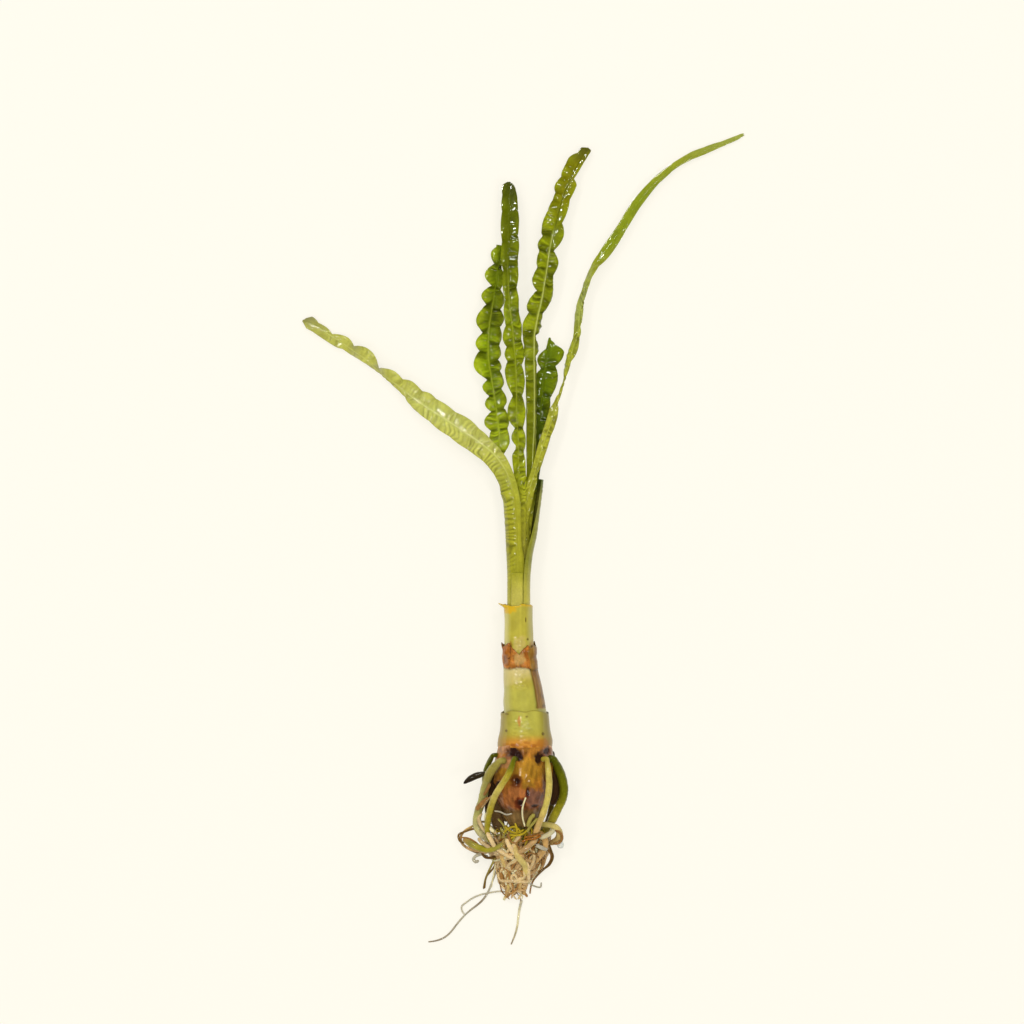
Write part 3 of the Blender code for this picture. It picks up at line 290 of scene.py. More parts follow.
# A leaf's ruffle: length of one wave, and the shape of its lobes and notches. The ruffle grows towards
# the margin by RUFFLE_SPREAD, and lobes show fully from FULL_RUFFLE degrees on.
WAVE_LENGTH = 8.1
WAVE_FLOOR = 0.02
WAVE_POWER = 0.35
WAVE_MIDDLE = 0.62
WAVE_HALF_RANGE = 0.38
RUFFLE_SPREAD = 1.3
FULL_RUFFLE = 25.0

# A leaf's thickness, and the least width of a half.
LEAF_THICKNESS = 0.42
SMALLEST_HALF = 0.2

# Paths are read up to this far from their last point.
END_GAP = 1e-6

# Each leaf's stations.
LEAVES = {
    "leaf_left": LEFT_LEAF,
    "leaf_upright": UPRIGHT_LEAF,
    "leaf_centre": CENTRE_LEAF,
    "leaf_arching": ARCHING_LEAF,
    "leaf_right": RIGHT_LEAF,
    "leaf_short": SHORT_LEAF,
    "leaf_cut": CUT_LEAF,
    "leaf_stump": FRONT_STUMP,
}

# Roots: the points each one passes, x, y, z and radius, from where it grows to its tip.
ROOTS = {
    "root_left_outer": [
        (-10.6, -79.4, 13.6, 0.8), (-12.6, -81.9, 10.8, 1.0), (-14.1, -85.6, 8.0, 1.0),
        (-14.4, -90.0, 6.0, 1.0), (-14.0, -96.0, 4.6, 1.0), (-12.5, -102.0, 3.8, 0.9),
        (-9.5, -107.0, 3.2, 0.8),
    ],
    "root_left": [
        (-8.8, -81.2, 20.4, 0.9), (-11.0, -83.4, 18.6, 1.2), (-13.3, -87.4, 15.2, 1.2),
        (-14.3, -91.8, 11.8, 1.2), (-15.2, -96.2, 9.8, 1.2), (-16.8, -100.3, 8.4, 1.2),
        (-17.8, -103.0, 7.2, 1.1), (-17.0, -107.3, 6.0, 1.1), (-12.5, -111.0, 5.2, 1.0),
        (-8.0, -114.5, 4.6, 0.9),
    ],
    "root_front_left": [
        (-3.6, -80.4, 23.0, 1.0), (-4.6, -84.1, 24.6, 1.35), (-7.5, -88.9, 23.4, 1.4),
        (-10.5, -93.7, 20.4, 1.4), (-12.0, -98.1, 17.0, 1.4), (-13.0, -102.5, 13.8, 1.3),
        (-13.4, -107.6, 10.4, 1.2), (-12.6, -111.0, 8.6, 1.1), (-9.0, -114.0, 7.6, 1.0),
        (-5.5, -117.5, 7.0, 0.9),
    ],
    "root_front_right": [
        (8.4, -80.6, 19.6, 1.0), (9.2, -85.6, 21.4, 1.4), (9.5, -89.6, 21.4, 1.45),
        (8.7, -95.5, 21.6, 1.45), (7.2, -100.3, 19.6, 1.45), (5.9, -103.6, 17.4, 1.4),
        (4.5, -107.3, 14.8, 1.4), (4.0, -110.4, 12.6, 1.3), (1.6, -112.8, 10.8, 1.2),
        (-1.6, -115.2, 9.8, 1.0),
    ],
    "root_right_outer": [
        (10.9, -80.6, 16.6, 0.9), (13.0, -84.4, 13.6, 1.2), (14.9, -90.3, 11.6, 1.2),
        (15.0, -94.4, 10.6, 1.2), (13.5, -97.6, 10.0, 1.2), (11.7, -101.0, 9.2, 1.2),
        (9.6, -105.0, 8.0, 1.1), (6.6, -109.0, 6.6, 1.0),
    ],
    "root_under_right": [
        (9.9, -79.0, 4.8, 0.8), (11.1, -86.0, 3.8, 1.0), (11.2, -92.0, 3.7, 1.0), (10.4, -98.0, 3.6, 1.0),
        (9.2, -104.0, 3.4, 1.0), (6.0, -109.0, 2.8, 0.9), (2.0, -114.0, 2.2, 0.8),
    ],
    "root_dead": [
        (-13.9, -86.0, 11.6, 0.7), (-15.6, -86.2, 11.6, 1.1), (-18.4, -87.0, 11.2, 1.25),
        (-20.4, -88.2, 10.6, 1.0), (-22.0, -89.8, 10.0, 0.4),
    ],
    "root_curl_middle": [
        (-1.5, -107.2, 11.8, 1.0), (-3.6, -110.4, 12.6, 1.2), (-3.2, -114.5, 12.2, 1.2),
        (-0.8, -118.3, 10.4, 1.2), (1.5, -120.6, 8.6, 1.2), (0.3, -123.8, 7.0, 1.1),
        (-1.9, -126.2, 5.4, 1.0), (-1.6, -130.0, 3.6, 0.8),
    ],
    "root_curl_left": [
        (-3.8, -107.4, 9.2, 1.0), (-6.8, -110.6, 10.6, 1.1), (-8.6, -114.6, 10.2, 1.1),
        (-7.0, -119.0, 8.2, 1.1), (-5.4, -124.0, 6.0, 1.1), (-5.6, -129.0, 3.8, 0.9),
        (-6.6, -132.6, 2.2, 0.6),
    ],
    "root_curl_right": [
        (3.6, -107.2, 10.4, 1.0), (7.6, -108.6, 11.6, 1.2), (8.4, -113.0, 9.6, 1.2),
        (5.2, -117.6, 7.4, 1.2), (1.6, -121.6, 4.6, 1.1), (0.2, -127.0, 3.0, 1.0), (0.2, -131.4, 1.8, 0.7),
    ],
    "root_loop_right": [
        (6.4, -104.6, 13.6, 0.9), (10.4, -104.8, 12.0, 1.2), (13.8, -107.6, 8.6, 1.3),
        (12.6, -111.4, 6.0, 1.2), (9.4, -112.2, 4.2, 0.9),
    ],
    "root_knob_left": [
        (-7.6, -111.6, 14.2, 0.8), (-12.0, -114.6, 11.6, 1.1), (-16.6, -113.4, 9.6, 1.2),
        (-20.4, -111.8, 8.2, 1.2), (-22.0, -110.0, 7.2, 0.8),
    ],
    "root_loop_left": [
        (-16.2, -104.4, 4.4, 0.4), (-19.8, -106.4, 4.4, 0.5), (-23.4, -108.4, 3.8, 0.5),
        (-23.6, -112.0, 3.0, 0.5), (-19.0, -115.0, 2.4, 0.5), (-13.0, -117.2, 2.0, 0.4),
    ],
    "root_low": [
        (-0.6, -107.4, 7.4, 0.9), (-1.6, -111.6, 5.6, 1.1), (-3.0, -117.0, 3.4, 1.1),
        (-2.6, -123.0, 2.0, 1.0), (-3.2, -129.0, 1.4, 0.7),
    ],
    "root_long": [
        (-7.8, -118.0, 4.2, 0.4), (-9.6, -121.6, 3.2, 0.4), (-11.3, -125.4, 2.2, 0.4),
        (-12.8, -130.2, 1.2, 0.4), (-15.4, -134.0, 0.6, 0.4), (-19.9, -137.1, 0.5, 0.35),
        (-24.3, -141.7, 0.5, 0.35), (-28.4, -147.0, 0.5, 0.32), (-32.2, -148.6, 0.45, 0.3),
        (-35.2, -148.8, 0.4, 0.25),
    ],
    "root_tail": [
        (-0.6, -133.2, 1.2, 0.5), (-1.7, -136.8, 0.7, 0.45), (-2.0, -141.9, 0.55, 0.4),
        (-2.9, -146.0, 0.5, 0.35), (-4.6, -149.8, 0.4, 0.25),
    ],
    "root_right_thin": [
        (9.2, -114.4, 6.4, 0.4), (11.0, -116.6, 4.6, 0.4), (9.4, -120.2, 3.0, 0.4), (5.4, -123.6, 1.4, 0.4),
        (2.6, -127.2, 0.8, 0.35), (2.4, -131.0, 0.6, 0.3),
    ],
    "root_left_thin": [
        (-10.4, -117.2, 6.4, 0.4), (-12.2, -121.2, 4.2, 0.4), (-14.0, -124.8, 2.2, 0.4),
        (-14.8, -129.2, 0.8, 0.3),
    ],
}

# Roots thinner than THIN_ROOT_RADIUS have fewer sides, and no skin is thinner than THINNEST_ROOT.
# Some skins are thinner or thicker than their solid by a gain. ROUND_OFF keeps a rounded end open.
THIN_ROOT_RADIUS = 0.6
THINNEST_ROOT = 0.25
ROOT_GAINS = {"root_front_left": 0.88, "root_left": 1.3, "root_right_outer": 1.35, "root_front_right": 0.86}
ROUND_OFF = 0.08
TUBE_UP = (0.0, 0.3, 1.0)

# A root on the bulb starts inside its skin, with a collar. Roots swell and shrink along their length,
# and a fine grain covers them.
ROOT_DEPTH_SHARE = 0.25
ROOT_COLLAR = 1.3
SWELL_LENGTH = 2.6
SWELL_SHARE = 0.1
SWELL_LAYER = 0.5
GRAIN_SIZE = 0.7
ROOT_GRAIN = 0.05

# Moving the roots apart: step of their points, clearance, rounds, share of the lack that one round
# makes up, share of a point's place that smoothing keeps, and the end of the bulb.
FINE_STEP = 0.6
ROOT_CLEARANCE = 0.5
SPREAD_ROUNDS = 80
SPREAD_SHARE = 0.45
KEPT_SHARE = 0.8
NEAR_AXIS = 0.1
BASAL_END_Y = -106.2

# Colours as seen on a screen.
COLOURS = {
    "neck_olive": (156, 152, 38),
    "neck_pale": (182, 172, 70),
    "leaf_left_low": (156, 157, 46),
    "leaf_left_middle": (166, 165, 74),
    "leaf_left_bright": (174, 175, 84),
    "leaf_left_deep": (138, 138, 38),
    "green_deep": (58, 66, 2),
    "short_deep": (40, 54, 2),
    "leaf_left_tip": (146, 144, 74),
    "leaf_left_end": (96, 92, 78),
    "upright_low": (138, 150, 20),
    "upright_middle": (108, 124, 8),
    "upright_dark": (84, 94, 6),
    "upright_lobe": (148, 160, 24),
    "centre_low": (126, 132, 12),
    "centre_middle": (112, 122, 6),
    "centre_top": (84, 92, 0),
    "centre_tip": (66, 70, 10),
    "right_low": (108, 114, 6),
    "right_middle": (114, 122, 10),
    "right_top": (112, 110, 4),
    "right_tip": (84, 82, 20),
    "short_low": (62, 76, 2),
    "short_middle": (82, 98, 2),
    "short_top": (88, 104, 4),
    "arching_low": (150, 150, 40),
    "arching_middle": (140, 146, 36),
    "arching_wide": (122, 134, 20),
    "arching_pale": (140, 148, 74),
    "arching_tip": (146, 152, 66),
    "cut_inner": (70, 86, 14),
    "cut_outer": (132, 132, 44),
    "stump_pale": (184, 174, 76),
    "rib_pale": (198, 200, 108),
    "rib_green": (148, 154, 36),
    "sheath_pale": (172, 160, 58),
    "sheath_olive": (172, 158, 60),
    "sheath_green": (172, 164, 68),
    "sheath_tan": (190, 166, 98),
    "sheath_cream": (202, 184, 122),
    # Flank colour of the upper sleeve, painted light where it turns away.
    "sheath_light": (206, 196, 126),
    "paper_brown": (126, 84, 32),
    "paper_tan": (156, 118, 46),
    # Flank colours of the lower and middle sleeves, painted light and shade where they turn away.
    "sheath_flank": (140, 120, 44),
    "sheath_side": (184, 176, 104),
    "rim_yellow": (204, 162, 28),
    "rim_dark": (84, 62, 26),
    "rim_olive": (128, 116, 42),
    "skin_brown": (148, 84, 26),
    "skin_orange": (186, 118, 48),
    "skin_dark": (98, 56, 28),
    "band_orange": (196, 132, 48),
    "bulb_yellow": (182, 132, 38),
    "bulb_orange": (170, 106, 34),
    "bulb_red": (174, 106, 54),
    "bulb_dark": (98, 52, 26),
    "bulb_purple": (116, 80, 66),
    "bulb_pink": (190, 136, 92),
    "scar_red": (92, 28, 12),
    "scar_dark": (44, 22, 16),
    "plate_grey": (130, 100, 56),
    "plate_olive": (112, 88, 46),
    "root_dark_green": (70, 74, 4),
    "root_green": (108, 108, 10),
    "root_olive": (148, 136, 62),
    "root_yellow": (164, 146, 40),
    "root_cream": (200, 180, 104),
    "root_pale": (220, 208, 160),
    "root_tan": (190, 152, 92),
    "root_brown": (150, 108, 56),
    "root_grey": (172, 164, 140),
    "root_dead": (50, 40, 22),
    "root_grey_green": (164, 158, 88),
    "root_yellow_green": (148, 138, 30),
    "root_cream_green": (190, 172, 84),
    "root_orange": (200, 156, 92),
    "root_grey_brown": (128, 112, 88),
    "root_white": (226, 228, 216),
    "root_dead_grey": (84, 72, 52),
    "root_black": (34, 26, 20),
    "dead_skin_and_shade": (66, 44, 24),
    "flake_and_shade_brown": (88, 66, 36),
    "rootlet_yellow": (176, 152, 34),
    "rootlet_cream": (208, 180, 128),
    "rootlet_tan": (186, 150, 98),
    "rootlet_orange": (168, 104, 34),
    "rootlet_dark": (112, 82, 36),
    "floor_cream": (255, 252, 239),
}

# How screen levels become linear light: a straight part up to a threshold, and a power above it.
SCREEN_LEVELS = 255.0
STRAIGHT_END = 0.04045
STRAIGHT_SCALE = 12.92
CURVE_OFFSET = 0.055
CURVE_POWER = 2.4

# Looks of the leaves: the colour of the painted light on the lobes and of the painted shade in the valleys,
# how strongly lobes and rib show, and the colours of the leaf and of its rib along Y. For both halves or
# for each: the depth of the ladder of fine rungs, the strength of the pleats, a painted light and shade
# that scales the brightness and a painted shade inside the fold, all along Y, and the places of the lobes
# and notches of the margin.
LEAF_LOOKS = {
    "leaf_left": {
        "lobe": "leaf_left_bright", "lobe_share": 0.35, "deep": "leaf_left_deep", "rib_share": 0.75,
        "seed": 1,
        "stops": [
            (-31, "neck_pale"), (-14, "neck_olive"), (4, "neck_olive"), (20, "leaf_left_low"),
            (34, "leaf_left_middle"), (48, "leaf_left_bright"), (56, "leaf_left_middle"),
            (76, "leaf_left_middle"), (80.5, "leaf_left_tip"), (83, "leaf_left_end"),
        ],
        "rib": [(-31, "neck_olive"), (16, "neck_olive"), (30, "rib_pale"), (81, "rib_pale")],
        "left_ladder": [(-31, 0), (-14, 0.02), (-5, 0.28), (18, 0.34), (28, 0.12), (70, 0.03), (81, 0)],
        "right_ladder": [(-31, 0), (16, 0.01), (28, 0.04), (70, 0.03), (81, 0)],
        "left_pleats": [(-31, 0), (0, 0.1), (20, 0.3), (32, 0.34), (76, 0.3), (81, 0.1)],
        "right_pleats": [(-31, 0), (14, 0.1), (28, 0.34), (76, 0.34), (81, 0.1)],
        "left_tint": [(-31, 1), (-14, 1.0), (-6, 0.8), (20, 0.8), (30, 1), (81, 1)],
        "left_edge": [
            (-10.5, 23.4), (-12.7, 26.5), (-15.5, 29.3), (-19.7, 32.4), (-23.0, 34.6), (-27.0, 37.7),
            (-30.7, 40.1), (-34.8, 43.6), (-39.0, 46.9), (-42.1, 50.0), (-43.8, 53.0), (-47.3, 56.1),
            (-50.6, 59.4), (-52.8, 61.1), (-55.0, 62.6), (-58.0, 64.8), (-61.3, 66.9), (-64.6, 68.8),
            (-66.8, 70.3), (-69.7, 71.3), (-72.7, 73.2), (-75.3, 74.9), (-77.6, 76.5), (-80.0, 77.8),
            (-81.5, 79.7),
        ],
        "right_edge": [
            (-7.9, 32.2), (-11.6, 36.2), (-16.2, 40.7), (-20.4, 44.6), (-25.0, 46.9), (-29.3, 50.2),
            (-32.2, 51.9), (-34.4, 53.8), (-37.2, 54.6), (-40.7, 58.0), (-44.3, 58.9), (-46.6, 61.4),
            (-53.0, 63.1), (-56.9, 70.1), (-62.2, 71.2), (-64.6, 74.4), (-70.7, 76.0), (-73.4, 78.8),
            (-75.6, 80.0), (-78.2, 82.4), (-81.1, 81.1),
        ],
    },
    "leaf_upright": {
        "lobe": "upright_lobe", "lobe_share": 0.75, "deep": "green_deep", "rib_share": 0.6, "seed": 2,
        "stops": [
            (-31, "neck_pale"), (0, "neck_olive"), (20, "upright_low"), (40, "upright_low"),
            (56, "upright_middle"), (74, "upright_middle"), (82, "upright_dark"), (108, "upright_middle"),
        ],
        "rib": [
            (-31, "neck_pale"), (20, "rib_green"), (84, "rib_green"), (92, "upright_middle"),
            (108, "upright_middle"),
        ],
        "left_ladder": [(-31, 0), (20, 0.02), (108, 0.02)],
        "right_ladder": [(-31, 0), (20, 0.03), (108, 0.03)],
        "left_pleats": [(-31, 0), (10, 0.2), (30, 0.9), (104, 1.0), (108, 0.2)],
        "right_pleats": [(-31, 0), (10, 0.3), (28, 1.2), (104, 1.1), (108, 0.2)],
        "left_tint": [(-31, 1), (40, 1.05), (76, 1.1), (88, 0.95), (108, 0.9)],
        "right_tint": [(-31, 1), (30, 0.95), (60, 0.85), (84, 0.8), (108, 0.85)],
        "left_edge": [
            (-10.5, 32.2), (-12.7, 36.2), (-12.2, 39.9), (-14.5, 43.2), (-12.0, 46.9), (-14.2, 50.0),
            (-12.7, 52.8), (-15.1, 56.1), (-13.4, 58.7), (-18.3, 64.6), (-16.4, 69.2), (-17.6, 72.3),
            (-15.1, 76.4), (-17.4, 81.0), (-13.8, 86.5), (-15.5, 90.0), (-12.0, 93.5), (-14.2, 97.9),
            (-11.0, 101.8), (-12.0, 105.8), (-10.1, 108.0),
        ],
        "right_edge": [
            (-8.5, 30.2), (-5.2, 36.2), (-5.7, 40.7), (-5.3, 44.0), (-7.0, 48.4), (-6.3, 51.3),
            (-7.8, 55.4), (-7.3, 58.5), (-8.4, 62.0), (-8.1, 63.8), (-9.1, 66.2), (-8.4, 69.0),
            (-8.7, 71.6), (-8.1, 75.3), (-8.4, 78.2), (-7.4, 81.1), (-8.3, 84.8), (-7.2, 88.1),
            (-8.3, 92.2), (-7.2, 96.2), (-8.3, 100.3), (-7.5, 104.3), (-8.1, 107.6),
        ],
    },
    "leaf_centre": {
        "lobe": "upright_lobe", "lobe_share": 0.35, "deep": "green_deep", "rib_share": 0.7, "seed": 3,
        "stops": [
            (-31, "neck_pale"), (6, "neck_olive"), (26, "centre_low"), (60, "centre_middle"),
            (84, "centre_middle"), (100, "centre_top"), (122, "centre_top"), (131, "centre_tip"),
        ],
        "rib": [
            (-31, "neck_pale"), (20, "rib_green"), (92, "rib_green"), (104, "centre_top"),
            (131, "centre_top"),
        ],
        "left_ladder": [(-31, 0), (10, 0.02), (131, 0.02)],
        "right_ladder": [(-31, 0), (4, 0.04), (16, 0.24), (32, 0.12), (40, 0.03), (131, 0.02)],
        "left_pleats": [(-31, 0), (16, 0.3), (34, 0.9), (80, 0.6), (92, 0.25), (106, 0.08), (131, 0.05)],
        "right_pleats": [(-31, 0), (16, 0.3), (34, 1.1), (94, 1.0), (108, 0.6), (114, 0.25), (131, 0.1)],
        "left_tint": [(-31, 1), (30, 0.95), (70, 1.0), (100, 0.95), (131, 1.0)],
        "right_tint": [(-31, 1), (30, 1.0), (90, 0.95), (100, 0.9), (131, 0.85)],
        "left_edge": [
            (-2.8, 34.4), (-4.4, 37.4), (-3.3, 40.8), (-5.9, 46.4), (-4.1, 52.8), (-6.9, 62.0),
            (-5.9, 65.1), (-6.9, 68.1), (-6.3, 70.7), (-7.6, 74.0), (-6.7, 78.6), (-7.2, 83.0),
            (-6.8, 88.1), (-7.7, 93.7), (-7.5, 99.2), (-8.3, 104.7), (-8.0, 110.2), (-8.4, 116.5),
            (-7.9, 120.9), (-8.2, 123.5), (-7.8, 126.8), (-8.0, 129.4), (-7.0, 131.6),
        ],
        "right_edge": [
            (0.2, 32.2), (0.8, 36.6), (0.0, 41.0), (0.6, 46.9), (-0.3, 52.8), (0.4, 58.7), (-0.4, 64.2),
            (0.2, 69.0), (-0.7, 73.4), (-0.8, 78.9), (-1.6, 83.7), (-1.8, 88.1), (-2.4, 92.6), (-1.9, 98.4),
            (-2.0, 103.6), (-1.6, 107.6), (-2.0, 111.7), (-1.6, 117.2), (-2.0, 121.3), (-2.2, 124.9),
            (-2.8, 128.6), (-3.5, 130.5), (-4.7, 131.6),
        ],
    },
    "leaf_arching": {
        "lobe": "leaf_left_middle", "lobe_share": 0.3, "deep": "leaf_left_deep", "rib_share": 0.35,
        "seed": 4,
        "stops": [
            (-31, "neck_pale"), (0, "neck_olive"), (24, "arching_low"), (50, "arching_low"),
            (72, "arching_middle"), (90, "arching_pale"), (100, "arching_middle"), (108, "arching_wide"),
            (128, "arching_wide"), (140, "arching_middle"), (149, "arching_tip"),
        ],
        "rib": [(-31, "rib_pale"), (96, "rib_pale"), (104, "arching_wide"), (149, "arching_middle")],
        "left_ladder": [(-31, 0), (20, 0.02), (149, 0.01)],
        "right_ladder": [(-31, 0), (20, 0.03), (149, 0.01)],
        "left_pleats": [(-31, 0), (24, 0.3), (40, 0.6), (90, 0.7), (102, 0.1), (149, 0.05)],
        "right_pleats": [(-31, 0), (20, 0.4), (30, 0.9), (90, 0.8), (102, 0.1), (149, 0.05)],
        "right_tint": [(-31, 1), (26, 0.9), (46, 0.85), (52, 1), (149, 0.95)],
        "left_edge": [
            (11.6, 51.3), (13.1, 53.9), (14.9, 59.4), (15.6, 65.7), (18.2, 74.2), (19.0, 82.6),
            (21.5, 91.8), (24.8, 100.6), (27.4, 105.1), (33.3, 113.9), (38.8, 122.7), (46.2, 131.6),
            (51.0, 136.0), (54.3, 138.2), (56.9, 140.4), (66.4, 144.8), (73.0, 147.0), (78.6, 149.2),
        ],
        "right_edge": [
            (5.3, 24.5), (7.2, 28.9), (8.6, 33.3), (10.1, 38.1), (12.0, 43.2), (12.8, 47.3), (12.5, 50.2),
            (14.2, 53.9), (15.6, 59.4), (16.4, 61.3), (17.8, 65.7), (20.1, 70.1), (20.8, 74.2),
            (21.2, 78.6), (21.9, 82.6), (22.3, 87.4), (25.2, 96.2), (27.8, 100.6), (32.2, 105.1),
            (37.7, 113.9), (43.2, 122.7), (50.2, 131.6), (55.0, 136.0), (57.2, 138.2), (62.4, 140.4),
            (67.9, 142.6), (77.8, 147.0), (81.5, 149.2),
        ],
    },
    "leaf_right": {
        "lobe": "upright_lobe", "lobe_share": 0.35, "deep": "green_deep", "rib_share": 0.65, "seed": 5,
        "stops": [
            (-31, "neck_pale"), (0, "neck_olive"), (24, "right_low"), (50, "right_low"),
            (60, "right_middle"), (112, "right_middle"), (126, "right_top"), (138, "right_top"),
            (144, "right_tip"),
        ],
        "rib": [
            (-31, "neck_pale"), (24, "rib_pale"), (110, "rib_pale"), (116, "green_deep"),
            (144, "green_deep"),
        ],
        "left_ladder": [(-31, 0), (10, 0.02), (144, 0.03)],
        "right_ladder": [(-31, 0), (10, 0.01), (144, 0.03)],
        "left_pleats": [(-31, 0), (40, 0.2), (66, 0.9), (112, 1.2), (120, 0.5), (126, 0.2), (144, 0.1)],
        "right_pleats": [(-31, 0), (60, 0.3), (76, 1.0), (104, 0.8), (116, 0.25), (144, 0.1)],
        "left_tint": [(-31, 1), (24, 0.85), (60, 0.85), (80, 1.1), (144, 1.0)],
        "right_tint": [(-31, 1), (24, 0.9), (60, 0.8), (84, 0.72), (110, 0.8), (122, 1.05), (144, 1.1)],
        "left_edge": [
            (0.2, 71.6), (-0.3, 78.6), (1.7, 83.5), (1.2, 86.1), (4.7, 91.6), (3.3, 95.9), (4.8, 99.9),
            (4.9, 103.0), (5.7, 106.5), (5.3, 108.7), (6.7, 111.7), (7.0, 116.5), (9.0, 121.4),
            (10.7, 125.1), (11.7, 127.9), (11.6, 130.8), (13.8, 133.6), (14.5, 136.5), (15.6, 138.6),
            (16.4, 140.4), (19.7, 142.6),
        ],
        "right_edge": [
            (3.9, 67.5), (5.0, 70.7), (4.2, 74.2), (6.0, 79.7), (7.2, 83.5), (10.6, 90.3), (10.9, 97.0),
            (12.8, 101.8), (11.2, 106.2), (14.8, 111.9), (14.2, 116.3), (16.7, 122.7), (17.1, 125.1),
            (19.5, 130.1), (18.6, 132.8), (21.3, 137.3), (22.9, 140.0), (24.0, 141.9), (25.0, 143.6),
        ],
    },
    "leaf_short": {
        "lobe": "upright_lobe", "lobe_share": 0.25, "deep": "short_deep", "rib_share": 0.3, "seed": 6,
        "stops": [
            (-31, "neck_pale"), (0, "neck_olive"), (22, "short_low"), (44, "short_low"),
            (60, "short_middle"), (74, "short_top"),
        ],
        "rib": [(-31, "neck_pale"), (22, "short_middle"), (74, "short_middle")],
        "left_ladder": [(-31, 0), (14, 0.02), (74, 0.02)],
        "right_ladder": [(-31, 0), (14, 0.03), (74, 0.02)],
        "left_pleats": [(-31, 0), (26, 0.6), (70, 0.8), (74, 0.3)],
        "right_pleats": [(-31, 0), (26, 1.0), (66, 1.1), (74, 0.3)],
        "right_tint": [(-31, 1), (30, 0.9), (74, 1.0)],
        "left_edge": [
            (4.2, 42.1), (3.5, 46.9), (4.2, 51.3), (3.3, 57.2), (6.4, 63.1), (5.2, 66.4), (8.7, 70.7),
            (8.9, 73.0), (9.4, 74.7),
        ],
        "right_edge": [
            (7.9, 41.0), (9.5, 46.6), (10.1, 52.3), (12.6, 59.6), (12.0, 63.7), (15.0, 69.2), (11.6, 71.9),
            (10.1, 73.6), (9.7, 74.7),
        ],
    },
    "leaf_cut": {
        "lobe": "cut_outer", "lobe_share": 0.0, "deep": "green_deep", "rib_share": 0.3, "seed": 7,
        "stops": [
            (-31, "neck_pale"), (-22, "neck_pale"), (-8, "cut_outer"), (16, "cut_outer"), (22, "cut_inner"),
        ],
        "rib": [
            (-31, "neck_pale"), (-14, "neck_pale"), (-11, "green_deep"), (6, "green_deep"),
            (14, "cut_inner"), (22, "cut_inner"),
        ],
        "left_tint": [(-31, 0.95), (0, 0.9), (22, 0.85)],
        # Painted shade inside the fold.
        "left_shade": [(-31, 0), (-14, 0), (-11, 0.7), (6, 0.7), (22, 0.5)],
        "right_shade": [(-31, 0), (-14, 0), (-11, 0.8), (6, 0.8), (14, 0.55), (22, 0.5)],
        "ladder": [(-31, 0), (22, 0.03)],
        "pleats": [(-31, 0), (22, 0.2)],
    },
    "leaf_stump": {
        "lobe": "stump_pale", "lobe_share": 0.0, "deep": "rim_olive", "rib_share": 0.2, "seed": 8,
        "stops": [(-34, "stump_pale"), (-20, "stump_pale"), (-12, "neck_olive")],
        "rib": [(-34, "stump_pale"), (-12, "stump_pale")],
        "ladder": [(-34, 0), (-12, 0.01)],
        "pleats": [(-34, 0), (-12, 0.1)],
    },
}

# Painted light and painted shade of a leaf that has none of its own, and where across a half the painted
# shade fades.
PLAIN_HALF = {"tint": [(0, 1)], "shade": [(0, 0)]}
SHADE_REACH = (0.5, 0.8)

# Fineness of the leaf meshes, in millimetres along and in samples across each half.
LEAF_STEP = 0.28
LEAF_ACROSS = 12
SAMPLES_PER_COLUMN = 4

# How a half fits its margin: limits as shares of the width in its stations, and the millimetres over
# which the fit begins. The ruffle is a little stronger than in the stations.
LOBE_ROUNDNESS = 1.9
LEAST_SEEN = 0.25
NARROWEST = 0.4
WIDEST = 1.9
EDGE_BLEND = 4.0
RUFFLE_GAIN = 1.2

# Relief of the blades, which begins beside the rib and flattens near the margin. Everything sways.
RIB_SIDE = (0.04, 0.2)
MARGIN_START = 0.75
MARGIN_FLATTENING = 0.5
SWAY_LENGTH = 5.0
SWAY_ACROSS = 1.6
SWAY_SHIFT = 0.9
FAN_SHIFT = 0.8
SWAY_LAYER, PLEAT_LAYER, LADDER_LAYER = 0.5, 2.5, 8.5

# A pillow on each lobe, painted light on the lobes towards the margin, and painted shade in the valleys
# between the pillows.
PILLOW_HEIGHT = 0.25
PILLOW_SWAY = 0.1
PILLOW_POWER = 0.7
VALLEY_SHADE_POWER = 2.2
VALLEY_SHADE_SHARE = 0.85
LOBE_REACH = (0.25, 0.9)

# Uneven pleats over the pillows, with painted light on the crests, painted shade in the valleys, and
# painted light and shade by the slope along the leaf.
PLEAT_LENGTH = 1.6
PLEAT_ACROSS = 0.5
PLEAT_POWER = 2.8
CREST_ROUNDNESS = 0.08
PLEAT_MEAN = 0.45
PLEAT_HEIGHT = 0.85
PLEAT_LIGHT = 0.75
PLEAT_VALLEY_SHADE = 0.7
VALLEY_EDGE = (0.45, 0.9)
SLOPE_LIGHT = 0.4

# A ladder of fine rungs, lighter and darker in painted light and shade, and finer streaks.
LADDER_LENGTH = 1.95
LADDER_POWER = 0.6
LADDER_SHIFT = 2.8
LADDER_MEAN = 0.62
LADDER_LIGHT = 1.15
LADDER_STRENGTH = 0.7
LADDER_UNEVEN = 0.9
STRONGEST_RUNG = 1.3
FULL_LADDER = 0.16
STREAK_LENGTH = 1.05
STREAK_HEIGHT = 0.03
STREAK_DARK = 0.5

# The raised midrib, which ends before the tip, and the margins, which are thinner.
RIB_HEIGHT = 0.35
RIB_SPREAD = 0.06
RIB_TAPER = 12.0
EDGE_THINNING = 0.8

# Fineness of the bulb, the sleeves and the roots.
BULB_STEP = 0.35
BULB_AROUND = 260
SLEEVE_STEP = 0.3
SLEEVE_AROUND = 220
ROOT_AROUND = 14
FINE_AROUND = 8
FINE_ROOT_STEP = 0.3

# Bulb: its lumps and wrinkles, which fade out under the sheaths, and the painted shade of their hollows.
LUMP_HEIGHT = 0.4
LUMP_SIZE = 4.5
LUMP_SINK = 0.5
WRINKLE_HEIGHT = 0.1
WRINKLE_SIZE = 1.1
SKIN_TOP = (-76.0, -73.5)
HOLLOW_START = 0.5
HOLLOW_LUMPS = 0.5
HOLLOW_WRINKLES = 0.6
BULB_BLUR = (-0.7, 0.0, 0.7)

